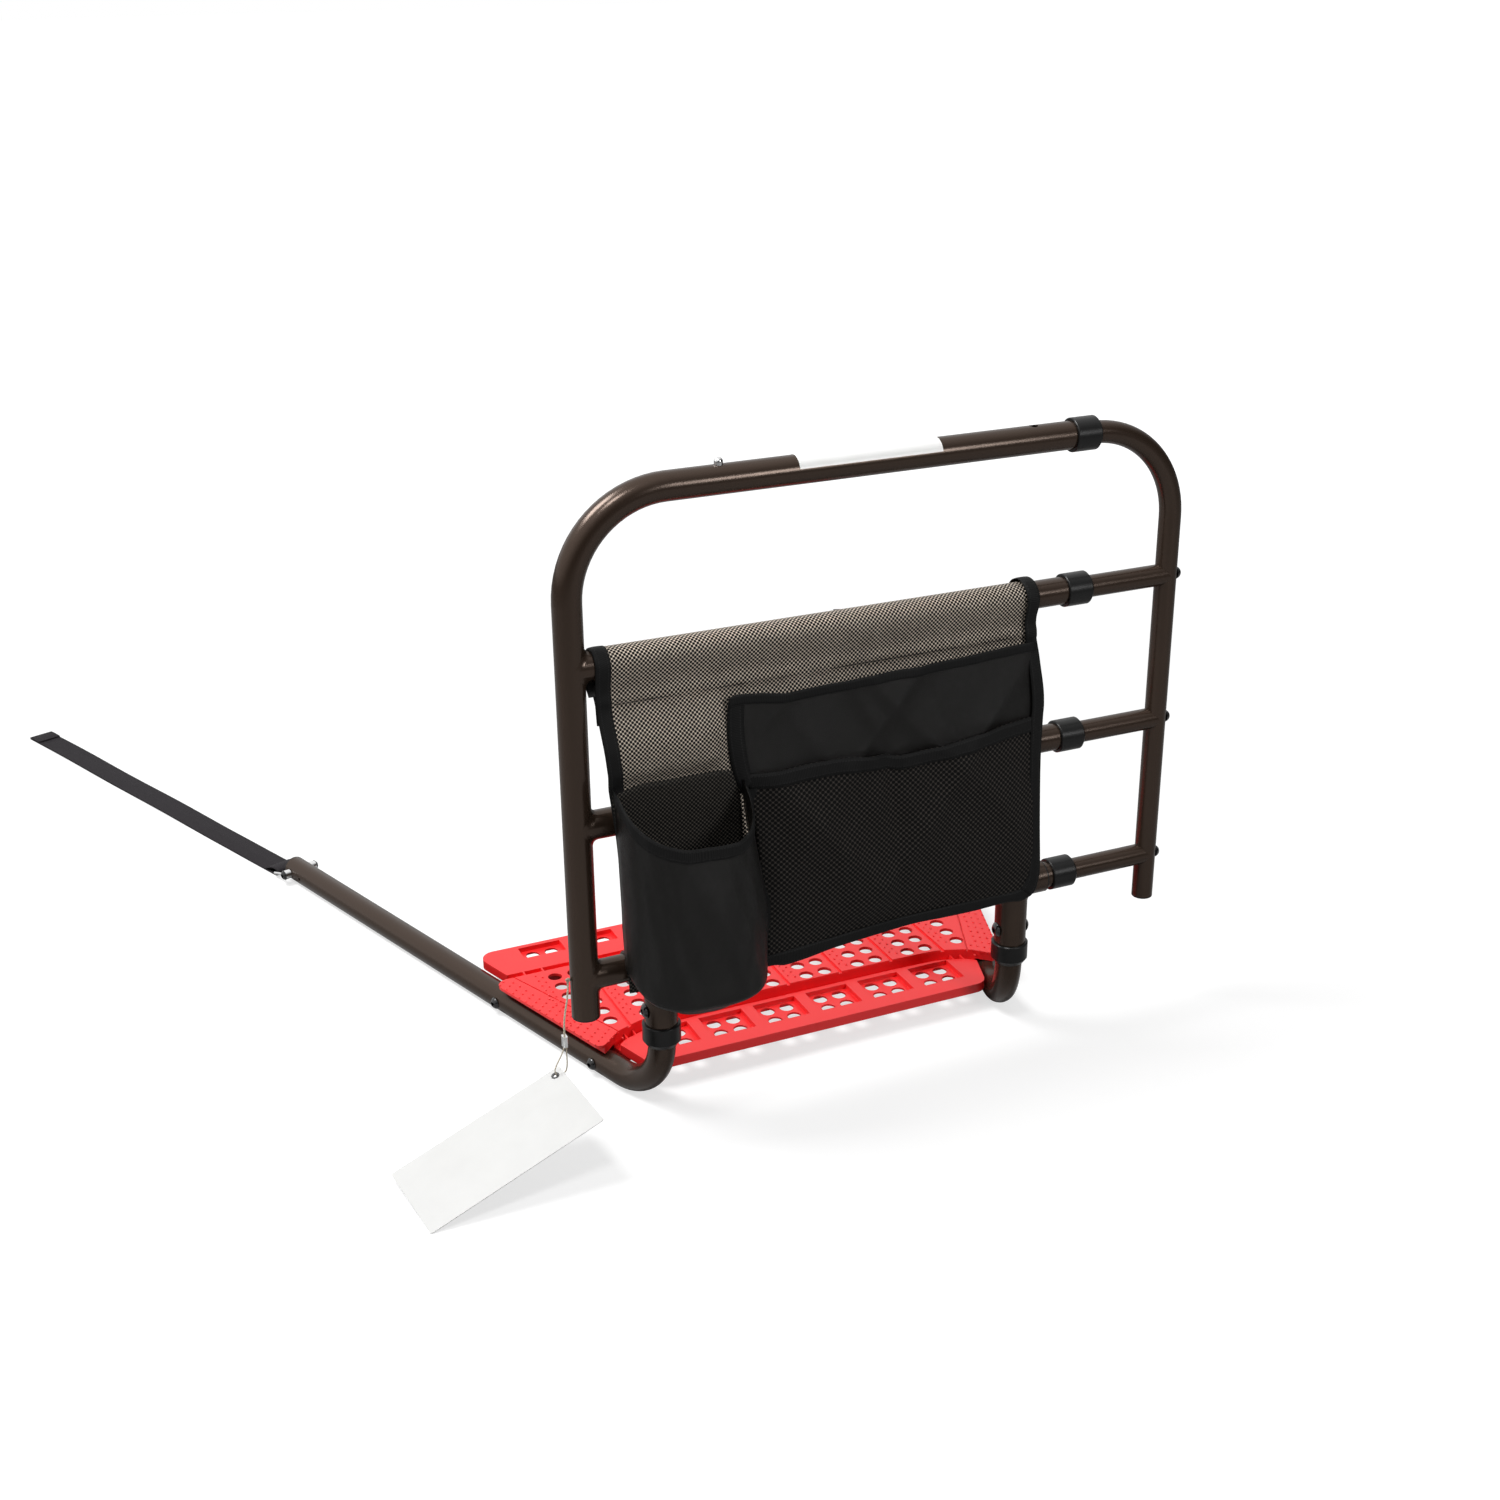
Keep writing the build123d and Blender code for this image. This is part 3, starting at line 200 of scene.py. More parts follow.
class Finish:
    """A material, or another owner of shader nodes, in the making."""

    def __init__(self, name, owner=None):
        self.material = owner or bpy.data.materials.new(name)
        self.material.use_nodes = True
        self.tree = self.material.node_tree
        self.tree.nodes.clear()

    def node(self, kind, settings=None, *values, **named):
        """Add a node: settings first, then its inputs in order and by name."""
        node = self.tree.nodes.new(kind)
        for key, value in (settings or {}).items():
            setattr(node, key, value)
        for key, value in list(enumerate(values)) + list(named.items()):
            socket = node.inputs[key if isinstance(key, int) else key.replace("_", " ")]
            if isinstance(value, Signal):
                self.tree.links.new(value.socket, socket)
            elif value is not None:
                socket.default_value = value
        return node

    def out(self, node, name=0):
        return Signal(self, node.outputs[name])

    def place(self):
        """The object's own coordinates as x, y and z, in metres."""
        return self.axes(self.out(self.node("ShaderNodeTexCoord"), "Object"))

    def plan(self):
        """The piece's own UV map as u and v, in metres."""
        return self.axes(self.out(self.node("ShaderNodeUVMap", {"uv_map": "UVMap"})))[:2]

    def axes(self, vector):
        node = self.node("ShaderNodeSeparateXYZ", None, vector)
        return [self.out(node, i) for i in range(3)]

    def vector(self, x, y, z=0.0):
        return self.out(self.node("ShaderNodeCombineXYZ", None, x, y, z))

    def noise(self, scale, detail=3.0, rough=0.5, vector=None):
        """Noise from 0 to 1 on Object coordinates, or on the vector given."""
        if vector is None:
            vector = self.out(self.node("ShaderNodeTexCoord"), "Object")
        node = self.node("ShaderNodeTexNoise", None, vector, Scale=scale, Detail=detail, Roughness=rough)
        return self.out(node, "Fac")

    def mix(self, share, a, b):
        """A colour between a and b."""
        settings = {"data_type": "RGBA", "blend_type": "MIX"}
        node = self.node("ShaderNodeMix", settings)
        for index, value in ((0, share), (6, self.colour(a)), (7, self.colour(b))):
            if isinstance(value, Signal):
                self.tree.links.new(value.socket, node.inputs[index])
            else:
                node.inputs[index].default_value = value
        return self.out(node, 2)

    @staticmethod
    def colour(value):
        return value if isinstance(value, Signal) else (*value[:3], 1.0)

    def bump(self, height, depth, strength=1.0, under=None):
        """A normal from a height of 0 to 1, depth metres high."""
        node = self.node(
            "ShaderNodeBump", None, Strength=strength, Distance=depth, Height=height, Normal=under
        )
        return self.out(node)

    def rounding(self, radius):
        """A normal that rounds the edges of a carried-over node."""
        return self.out(self.node("ShaderNodeBevel", {"samples": 6}, radius))

    def surface(self, colour, **sockets):
        """Close the material with one Principled shader."""
        sockets["Base_Color"] = self.colour(colour)
        shader = self.out(self.node("ShaderNodeBsdfPrincipled", None, **sockets))
        self.node("ShaderNodeOutputMaterial", None, shader)
        return self.material


def frame_coat():
    """Satin bronze powder coat with a fine orange peel."""
    f = Finish("frame_coat")
    base = bpy.context.scene.rail_colours.frame
    drift = f.noise(9.0, 2.0)
    grain = f.noise(900.0, 2.0)
    colour = f.mix(drift * 0.5 + grain * 0.5, [c * 0.86 for c in base], [c * 1.16 for c in base])
    peel = f.bump(f.noise(420.0, 2.0), 0.00012, 0.35)
    rough = f.noise(30.0, 3.0) * 0.08 + 0.19
    return f.surface(colour, Metallic=0.55, Roughness=rough, Normal=peel, Specular_IOR_Level=0.5)


def black_moulding(name="black_moulding", level=0.007, rough=0.24):
    """Glossy black plastic."""
    f = Finish(name)
    fleck = f.noise(700.0, 2.0)
    colour = f.mix(f.noise(24.0, 2.0), [level * 0.8] * 3, [level * 1.3] * 3)
    peel = f.bump(fleck, 0.0001, 0.3, f.rounding(0.0006))
    return f.surface(colour, Roughness=f.noise(60.0) * 0.12 + rough, Normal=peel, Specular_IOR_Level=0.26)


def bolt_black():
    """Gloss black on steel."""
    f = Finish("bolt_black")
    worn = f.noise(160.0, 3.0).ramp(0.62, 0.8)
    colour = f.mix(worn, (0.010, 0.010, 0.011), (0.030, 0.029, 0.028))
    return f.surface(
        colour, Metallic=0.35, Roughness=worn * 0.12 + 0.14, Coat_Weight=0.6, Coat_Roughness=0.08
    )


def bright_metal(name, level, rough):
    """Plated or bare bright metal with faint drawing marks."""
    f = Finish(name)
    x, y, z = f.place()
    marks = f.noise(1.0, 2.0, 0.5, f.vector(x * 240.0, y * 240.0, z * 2400.0))
    colour = f.mix(marks, [level * 0.92] * 3, [min(level * 1.05, 0.95)] * 3)
    return f.surface(colour, Metallic=1.0, Roughness=marks * 0.08 + rough)


def bare_label():
    """White vinyl, bare."""
    f = Finish("bare_label")
    tone = f.noise(40.0, 3.0)
    colour = f.mix(tone, (0.80, 0.80, 0.79), (0.86, 0.86, 0.85))
    return f.surface(colour, Roughness=0.32, Normal=f.bump(f.noise(120.0), 0.00006, 0.4))


def red_moulding():
    """The board's semi-gloss red plastic."""
    f = Finish("red_moulding")
    base = bpy.context.scene.rail_colours.board
    tone = f.noise(14.0, 3.0)
    colour = f.mix(tone, [c * 0.93 for c in base], [min(c * 1.04, 1.0) for c in base])
    fine = f.bump(f.noise(1300.0, 2.0), 0.00005, 0.5, f.rounding(0.0009))
    return f.surface(colour, Roughness=f.noise(45.0) * 0.08 + 0.33, Normal=fine)


def woven_webbing():
    """Black polyester webbing with fine slanting ribs."""
    f = Finish("woven_webbing")
    base = bpy.context.scene.rail_colours.webbing
    u, v = f.plan()
    folded = abs(u * 2.0)
    ribs = ((folded * 0.9 + v) * (2 * math.pi / 0.0021)).sine()
    yarns = (u * (2 * math.pi / 0.0016)).sine()
    height = (ribs * 0.35 + yarns * 0.15) + 0.5
    fuzz = f.noise(2500.0, 2.0)
    colour = f.mix(height * 0.6 + fuzz * 0.4, [c * 0.55 for c in base], [c * 1.9 for c in base])
    return f.surface(
        colour, Roughness=0.72, Normal=f.bump(height, 0.0004, 0.7), Specular_IOR_Level=0.22
    )


def open_mesh(name, thread, hole, pitch=0.0048, dot=0.00160, gleam=0.0):
    """Two-tone mesh: slanting threads round a lattice of dark holes."""
    f = Finish(name)
    u, v = f.plan()
    wide, high = u / pitch, v / pitch

    def reach(shift):
        across = (wide + shift) % 1.0 - 0.5
        along = (high + shift) % 1.0 - 0.5
        return (across * across + along * along).power(0.5)

    near = reach(0.0).least(reach(0.5))
    pit = 1.0 - near.ramp((dot - 0.0003) / pitch, (dot + 0.0003) / pitch)
    yarn = (abs(((wide + high) * (4 * math.pi)).sine()) * 0.5
            + abs(((wide - high) * (4 * math.pi)).sine()) * 0.5)
    pale = f.mix(yarn * 0.6 + f.noise(60.0) * 0.4, [c * 0.58 for c in thread], [c * 1.15 for c in thread])
    colour = f.mix(pit, pale, hole)
    height = (1.0 - pit) * (yarn * 0.4 + 0.6)
    return f.surface(
        colour, Metallic=(1.0 - pit) * gleam, Roughness=0.74 - 0.3 * gleam,
        Normal=f.bump(height, 0.0006, 0.8), Specular_IOR_Level=0.14,
    )


def ribbed_tape(name="ribbed_tape", level=0.0062):
    """Ribbed binding tape with its rows of stitches; v runs across it."""
    f = Finish(name)
    u, v = f.plan()
    ribs = (u * (2 * math.pi / 0.0019)).sine() * 0.5 + 0.5
    edge = abs(v)
    on_row = (1.0 - abs(edge - 0.0052).ramp(0.0003, 0.0006))
    stitch = on_row * ((u / 0.0036) % 1.0).ramp(0.15, 0.3) * (1.0 - ((u / 0.0036) % 1.0).ramp(0.75, 0.9))
    tone = f.mix(ribs * 0.7 + f.noise(140.0) * 0.3, [level * 0.35] * 3, [level * 1.8] * 3)
    colour = f.mix(stitch, tone, [level * 2.6] * 3)
    height = ribs * 0.4 + stitch * 0.6
    return f.surface(
        colour, Roughness=0.62, Normal=f.bump(height, 0.0004, 0.7), Specular_IOR_Level=0.14
    )


def pocket_nylon():
    """Coated black nylon: a fine plain weave and soft creases, whose crests are painted lighter as a painted
    sheen.
    """
    f = Finish("pocket_nylon")
    base = bpy.context.scene.rail_colours.nylon
    u, v = f.plan()
    weave = (u * (2 * math.pi / 0.0009)).sine() * (v * (2 * math.pi / 0.0009)).sine() * 0.5 + 0.5
    crease_and_sheen = f.noise(26.0, 4.0, 0.55)
    # The creases' crests lift the colour up to 1.5 times: a painted sheen on the folds, besides their bump.
    colour = f.mix(weave * 0.4 + crease_and_sheen * 0.6, [c * 0.7 for c in base], [c * 1.5 for c in base])
    height = weave * 0.12 + crease_and_sheen * 0.88
    return f.surface(
        colour, Roughness=f.noise(70.0) * 0.12 + 0.36, Normal=f.bump(height, 0.0020, 0.6),
        Specular_IOR_Level=0.26
    )


def hook_pile():
    """The fuzzy face of the hook and loop tabs."""
    f = Finish("hook_pile")
    fuzz = f.noise(1800.0, 3.0, 0.7)
    colour = f.mix(fuzz, (0.006, 0.006, 0.006), (0.035, 0.034, 0.033))
    return f.surface(
        colour, Roughness=0.9, Normal=f.bump(fuzz, 0.0008, 0.9), Sheen_Weight=0.4, Sheen_Roughness=0.6
    )


def twisted_cord():
    """The pale lanyard: strands that wind round it; u runs round, v along, in metres."""
    f = Finish("twisted_cord")
    u, v = f.plan()
    strand = ((u * 3.0 + v / 0.0042) * (2 * math.pi)).sine() * 0.5 + 0.5
    colour = f.mix(strand * 0.7 + f.noise(900.0) * 0.3, (0.36, 0.30, 0.20), (0.74, 0.67, 0.54))
    return f.surface(
        colour, Roughness=0.8, Normal=f.bump(strand, 0.0005, 0.8), Sheen_Weight=0.2, Sheen_Roughness=0.5
    )


def card_painted_shade():
    """The bare laminated card: a white painted light grey all over, a painted shade that sets it apart from
    the floor.
    """
    f = Finish("card_painted_shade")
    # A white card given a light grey: painted shade all over it.
    colour = f.mix(f.noise(30.0, 4.0), (0.58, 0.58, 0.57), (0.64, 0.64, 0.63))
    return f.surface(colour, Roughness=0.35, Normal=f.bump(f.noise(60.0), 0.0002, 0.3))


SKY_LIGHT = 0.36
FLOOR_GLOW = 0.66
FAR_GLOW = 0.30  # what the floor gets more of, away from the rail
FLOOR_FADE = (0.9, 2.6)  # the distances between which that comes in, m
FLOOR_CENTRE_Y = 0.3  # where they are taken from, m behind the origin
FLOOR_GREY = (0.40, 0.40, 0.40, 1)
SENSOR_MM = 36.0
LENS_MM = 47.568
CAMERA_PLACE = (-0.91955, -2.17124, 1.2585)
FINISHES = {}


def finish(name):
    """A material made once and then shared."""
    if name not in FINISHES:
        colours = bpy.context.scene.rail_colours
        dark = (0.004, 0.0035, 0.003)
        makers = {
            "frame_coat": frame_coat,
            "black_moulding": black_moulding,
            "inner_moulding": lambda: black_moulding("inner_moulding", 0.045, 0.5),
            "bolt_black": bolt_black,
            "chrome": lambda: bright_metal("chrome", 0.78, 0.05),
            "spring_steel": lambda: bright_metal("spring_steel", 0.45, 0.3),
            "ferrule_metal": lambda: bright_metal("ferrule_metal", 0.8, 0.22),
            "eyelet_dark": lambda: bright_metal("eyelet_dark", 0.09, 0.3),
            "bare_label": bare_label,
            "red_moulding": red_moulding,
            "woven_webbing": woven_webbing,
            "panel_mesh": lambda: open_mesh("panel_mesh", colours.thread, dark, gleam=0.8),
            # The cup's liner: the panel's kind of mesh with its threads copied far darker, as painted shade
            # inside the cup.
            "painted_shade_cup_mesh": lambda: open_mesh("painted_shade_cup_mesh", (0.10, 0.090, 0.076), (0.002, 0.002, 0.002)),
            "pocket_mesh": lambda: open_mesh(
                "pocket_mesh", (0.050, 0.044, 0.039), (0.0010, 0.0009, 0.0008), 0.0064, 0.0021
            ),
            "ribbed_tape": ribbed_tape,
            "pocket_nylon": pocket_nylon,
            "hook_pile": hook_pile,
            "twisted_cord": twisted_cord,
            "card_painted_shade": card_painted_shade,
            "seam_thread": lambda: black_moulding("seam_thread", 0.005, 0.6),
        }
        FINISHES[name] = makers[name]()
    return FINISHES[name]


# ---- Pieces ----
def piece(name, bm, finish_name, body, sharp=None):
    """Close a bmesh into a piece with a finish and a body to ride on."""
    mesh = bpy.data.meshes.new(name)
    bm.to_mesh(mesh)
    bm.free()
    mesh.polygons.foreach_set("use_smooth", [True] * len(mesh.polygons))
    if sharp is not None:
        mesh.set_sharp_from_angle(angle=math.radians(sharp))
    obj = bpy.data.objects.new(name, mesh)
    bpy.context.scene.collection.objects.link(obj)
    mesh.materials.append(finish(finish_name))
    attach(obj, body)
    return obj


def thicken(obj, thickness, offset=-1.0, subdivide=0):
    """Give a sheet its thickness, and a finer grid where asked."""
    solid = obj.modifiers.new("thickness", "SOLIDIFY")
    solid.thickness = thickness
    solid.offset = offset
    if subdivide:
        fine = obj.modifiers.new("finer", "SUBSURF")
        fine.levels = fine.render_levels = subdivide
    return obj


def grid(columns, rows, place, plan, bm=None):
    """A grid whose corner shares (u, v) go to place(u, v), with plan(u, v) metres as its UV."""
    bm = bm or bmesh.new()
    uv = bm.loops.layers.uv.get("UVMap") or bm.loops.layers.uv.new("UVMap")
    made = bmesh.ops.create_grid(bm, x_segments=columns, y_segments=rows, size=0.5)["verts"]
    faces = {face for vert in made for face in vert.link_faces}
    for face in faces:
        for loop in face.loops:
            loop[uv].uv = plan(loop.vert.co.x + 0.5, loop.vert.co.y + 0.5)
    for vert in made:
        vert.co = place(vert.co.x + 0.5, vert.co.y + 0.5)
    return bm


class Line:
    """A smooth line through points of a plan, read by its share of length."""

    def __init__(self, *points, smooth=True):
        knots = [Vector(p) for p in points]
        self.points = knots
        if smooth and len(knots) > 2:
            ends = [2 * knots[0] - knots[1]] + knots + [2 * knots[-1] - knots[-2]]
            self.points = []
            for a, b, c, d in zip(ends, ends[1:], ends[2:], ends[3:]):
                for step in range(8):
                    t = step / 8
                    self.points.append(
                        0.5 * (
                            2 * b + (c - a) * t + (2 * a - 5 * b + 4 * c - d) * t * t
                            + (3 * b - a - 3 * c + d) * t**3
                        )
                    )
            self.points.append(knots[-1])
        self.marks = [0.0]
        for a, b in zip(self.points, self.points[1:]):
            self.marks.append(self.marks[-1] + (b - a).length)
        self.length = self.marks[-1]

    def at(self, share):
        goal = min(max(share, 0.0), 1.0) * self.length
        for index, mark in enumerate(self.marks[1:]):
            if goal <= mark or index == len(self.marks) - 2:
                run = mark - self.marks[index]
                return self.points[index].lerp(
                    self.points[index + 1], (goal - self.marks[index]) / run if run else 0
                )


def patch(left, right, bottom, top):
    """A plan that fills four lines which meet at their ends, as a function of (u, v)."""
    corners = [bottom.at(0), bottom.at(1), top.at(0), top.at(1)]

    def place(u, v):
        sides = left.at(v).lerp(right.at(v), u) + bottom.at(u).lerp(top.at(u), v)
        return sides - corners[0].lerp(corners[1], u).lerp(corners[2].lerp(corners[3], u), v)

    return place


# ---- Pouch: how its cloth hangs ----
HANG_R = 17.2  # the sleeve's middle radius on the bar
FRONT_OUT = 20.6
PINCH = 7.5  # how far the seam under the bar draws the panel in, mm
profile = Line(
    (FRONT_OUT, -90), (FRONT_OUT, 120), (FRONT_OUT, 210), (FRONT_OUT, bar_rise - 110),
    (FRONT_OUT - 0.6, bar_rise - 88),
    (FRONT_OUT - 3.0, bar_rise - 66), (FRONT_OUT - 5.6, bar_rise - 54), (FRONT_OUT - PINCH, bar_rise - 45),
    (FRONT_OUT - 6.0, bar_rise - 38), (FRONT_OUT - 7.6, bar_rise - 29), (FRONT_OUT - 6.8, bar_rise - 20),
    (HANG_R - 1.2, bar_rise - 9),
    *[
        (HANG_R * math.cos(math.radians(a)), bar_rise + HANG_R * math.sin(math.radians(a)))
        for a in range(6, 226, 12)
    ],
    (-7.5, bar_rise - 20.5), (2.0, bar_rise - 28.5), (8.6, bar_rise - 36.0),
    (11.4, bar_rise - 43.0), (12.2, bar_rise - 52.0), (13.5, bar_rise - 62.0),
)
FLOOR_T = -90.0


def hang(s, t, lift=0.0):
    """Metres of a point of the panel: s across, t up its unrolled length, lift off its face."""
    share = (t - FLOOR_T) / profile.length
    here = profile.at(share)
    along = profile.at(share + 0.002) - profile.at(share - 0.002)
    normal = Vector((along.y, -along.x)).normalized()
    here = here + normal * lift
    return spot(s, here.x, here.y)


SLEEVE_TOP = profile.length + FLOOR_T
SEAM_T = 318.0  # where the seam that closes the sleeve runs, up the panel
TAB_T = SLEEVE_TOP - 31.0  # where the hook tab ends, on the sleeve's return

panel_left = Line(
    (62, -20), (52, -12), (45.5, -1), (42, 12), (39.4, 60), (39, 116), (36, 172), (30, 228), (25, 282),
    (22.8, 334), (22.6, 368), (22.6, 420), (23, SLEEVE_TOP),
)
panel_right = Line(
    (553, -10), (559, -4), (561.5, 5), (564, 25), (560.6, 87), (557, 167), (557, 218), (557.5, 233),
    (556, 252),
    (551, 283), (547, 322), (546.5, 344), (548, 362), (546, 420), (546, SLEEVE_TOP),
)
panel_bottom = Line(
    (62, -20), (86, -23.5), (120, -26), (170, -27), (214, -25), (232, -28), (259, -25), (295, -19),
    (355, -14), (396, -11),
    (437, -12), (479, -13), (522, -12), (540, -14), (553, -10),
)
panel_top = Line((23, SLEEVE_TOP), (546, SLEEVE_TOP))
panel_plan = patch(panel_left, panel_right, panel_bottom, panel_top)


def slack(s, t):
    """The panel's soft folds, mm off its plane: drawn tight on the bar, slack under the seam."""
    calm = smooth_step((bar_rise - 12 - t) / 30)
    wave = math.sin(s / 47 + t / 90) + 0.7 * math.sin(s / 23 - t / 61 + 1.3)
    loose = (6.0 * smooth_step((172 - s) / 30) * smooth_step((t - 222) / 24)
             * (1 - smooth_step((t - 262) / 45)))
    gather = math.exp(-(((t - (bar_rise - 30)) / 16) ** 2)) * math.sin(s / 14.0 + 0.8 * math.sin(s / 41))
    return calm * (0.7 * wave + 0.55 * gather) + loose


def in_metres(plan):
    """The same plan in metres, for a UV map."""
    def read(u, v):
        point = plan(u, v)
        return (point.x * MM, point.y * MM)
    return read


def pouch_panel(sizes):
    """The mesh panel, its sleeve over the upper bar and the sleeve's tail behind it."""
    def place(u, v):
        point = panel_plan(u, v)
        return hang(point.x, point.y, slack(point.x, point.y))

    bm = grid(sizes.columns, 110, place, in_metres(panel_plan))
    panel = piece("pouch_mesh_panel", bm, "panel_mesh", "pouch")
    thicken(panel, sizes.mesh, 0.0)
    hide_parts("pouch_panel")
    return panel


def binding(name, outer, inner, front, back, rows):
    """A tape folded over the panel's edge, from its inner line in front to that behind."""
    wide = (outer.at(0.5) - inner.at(0.5)).length
    middle = (front - back) / 2
    fold = Line(
        (1.0, front), (0.9, front + 0.3), (0.5, front + 0.5), (0.08, front + 0.2), (-0.02, middle + 0.4),
        (-0.02, middle - 0.4),
        (0.08, -back - 0.1), (0.5, -back - 0.4), (0.9, -back - 0.2), (1.0, -back),
    )

    def place(u, v):
        across = fold.at(u)
        point = outer.at(v).lerp(inner.at(v), across.x)
        lift = across.y + slack(point.x, point.y)
        return hang(point.x, point.y, lift)

    def plan(u, v):
        return (v * outer.length * MM, (fold.at(u).x - 0.5) * wide * MM)

    tape = piece(name, grid(18, rows, place, plan), "ribbed_tape", "pouch")
    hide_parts("pouch_binding")
    return tape


def stitches(name, count, place, length=0.0036, width=0.0009, height=0.0004):
    """A row of thread stitches: place(share) gives a point and the ways along and off the cloth."""
    bm = bmesh.new()
    for k in range(count):
        point, along, off = place((k + 0.5) / count)
        made = bmesh.ops.create_cube(bm, size=1.0)["verts"]
        for vert in made:
            if vert.co.z > 0:
                vert.co.x *= 0.7
                vert.co.y *= 0.6
        side = off.cross(along).normalized()
        turn = Matrix((along * length, side * width, off * height)).transposed().to_4x4()
        bmesh.ops.transform(bm, matrix=Matrix.Translation(point) @ turn, verts=made)
    return piece(name, bm, "seam_thread", "pouch")


# ---- Pockets ----
def bulge(u, v, gape=0.0):
    """How far a pocket's cloth stands off, 0 at its sewn edges and 1 in its middle."""
    side = min(u, 1 - u) * 2
    return min(1.0, (1 - (1 - side) ** 4)) * smooth_step(v * 5) * (1 - gape + gape * v)


def ridge(phase, height):
    """One of a run of folds, narrow at its crest, mm high."""
    return height * (1 - abs(math.sin(phase))) ** 2.2


nylon_left = Line(
    (205, -22), (200, 60), (196, 130), (192, 162), (186, 185), (176, 203), (169, 226), (165, 256),
    (165, 288), (167, 305)
)
nylon_right = Line((548, -10), (557, 5), (557, 87), (552, 171), (549, 230), (545, 283), (543, 312))
nylon_bottom = Line((205, -22), (259, -21), (295, -16), (355, -11), (437, -8), (500, -9), (548, -10))
nylon_top = Line(
    (167, 305), (175, 308.5), (197, 307.6), (233, 304), (289, 305), (346, 308), (443, 309), (483, 311),
    (527, 312), (543, 312)
)
nylon_plan = patch(nylon_left, nylon_right, nylon_bottom, nylon_top)
FACE = 21.3


def nylon_out(u, v):
    """Distance of the nylon pocket's cloth before the rail, mm."""
    folds = (ridge(5.2 * u + 3.6 * v + 0.4, 6.0) + ridge(7.4 * u - 5.6 * v + 1.1, 4.5)
             + ridge(15.0 * u + 7.0 * v, 1.4))
    swell = bulge(u, v)
    return FACE + 1.0 + swell * (4.4 + 3.0 * math.sin(math.pi * min(v * 1.3, 1)) + folds)


mesh_left = Line((211, -13), (205, 60), (199, 120), (193, 170), (187, 203), (185, 216))
mesh_right = Line((547, -8), (556, 5), (556, 87), (551, 150), (548, 200), (546, 222))
mesh_bottom = Line((211, -13), (259, -19), (295, -14), (355, -9), (437, -6), (500, -7), (547, -8))
mesh_top = Line(
    (185, 216), (229.5, 216.5), (286, 219), (343, 214), (361, 209), (375, 209.5), (422, 212), (482, 219),
    (529, 221.5), (546, 222)
)
mesh_plan = patch(mesh_left, mesh_right, mesh_bottom, mesh_top)
MESH_SEAM = 0.47


def mesh_out(u, v):
    """Distance of the mesh pocket's cloth before the rail, mm."""
    seam = math.exp(-(((u - MESH_SEAM) / 0.035) ** 2))
    folds = (ridge(8.0 * u + 3.0 * v, 2.4) + ridge(12.0 * u - 5.0 * v + 2.0, 1.6)
             + 0.4 * math.sin(41 * u + 4 * v))
    swell = bulge(u, v) * (1 - 0.92 * seam)
    return nylon_out(u, min(v * 0.7, 1)) + 1.2 + swell * (3.8 + folds)


def on_pocket(plan, depth):
    """A place on a pocket by (u, v), lifted off its cloth."""
    def place(u, v, lift=0.0):
        point = plan(u, v)
        return spot(point.x, depth(u, v) + lift, point.y)
    return place


def pocket(name, node, plan, depth, finish_name, columns, rows, sizes):
    """A pocket's cloth on its plan."""
    bm = grid(columns, rows, on_pocket(plan, depth), in_metres(plan))
    obj = piece(name, bm, finish_name, "pouch")
    thicken(obj, sizes.cloth)
    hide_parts(node)
    return obj


def hem(name, plan, depth, edge, width, rows, lift=0.5):
    """A tape along one edge of a pocket: 'top', 'left' or 'right'."""
    surface = on_pocket(plan, depth)
    size = (plan(1, 1) - plan(0, 1)).length if edge == "top" else (plan(0, 1) - plan(0, 0)).length
    share = width / (
        (plan(0.5, 1) - plan(0.5, 0)).length if edge == "top" else (plan(1, 0.7) - plan(0, 0.7)).length
    )

    def place(u, v):
        crown = lift + 0.3 * (1 - (2 * u - 1) ** 4)
        if edge == "top":
            return surface(v, 1 - u * share, crown)
        return surface(u * share if edge == "left" else 1 - u * share, v, crown)

    bm = grid(4, rows, place, lambda u, v: (v * size * MM, (u - 0.5) * width * MM))
    if edge != "left":
        bmesh.ops.reverse_faces(bm, faces=bm.faces)
    return piece(name, bm, "ribbed_tape", "pouch")


CUP_LEFT, CUP_RIGHT, CUP_DEPTH = 34.0, 181.0, 67.0
CUP_FOOT = -44.0
CUP_BACK = FACE + 1.9


def cup_place(u, v, lift=0.0):
    """A place on the cup's bag: u round its front from left to right, v from foot to rim."""
    turn = math.pi * u
    front = math.sin(turn)
    rim = 228 - 16 * u - 48 * front ** 0.75 + 4 * math.sin(2 * turn)
    foot = CUP_FOOT + 16 * (1 - front) ** 1.5 + 14 * (1 - u) ** 3
    round_in = 1 - 0.42 * (1 - smooth_step(v * 8)) ** 1.6
    taper = blend(0.95, 1.0, smooth_step(v))
    left = CUP_LEFT + 6 * (1 - v)
    right = CUP_RIGHT + 17 * smooth_step((1 - v) * 1.6)
    middle = (left + right) / 2
    folds = (1.1 * math.sin(6 * turn + 7 * v) + 0.8 * math.sin(11 * turn - 9 * v + 1.0)
             + 0.5 * math.sin(19 * turn + 13 * v))
    half = (right - left) / 2 * round_in
    s = middle - math.copysign(abs(math.cos(turn)) ** 0.75, math.cos(turn)) * (half + lift)
    out = CUP_BACK + 0.6 + front ** 0.6 * (CUP_DEPTH * taper * round_in + folds * min(1, 4 * v) + lift)
    return spot(s, out, blend(foot, rim, v))


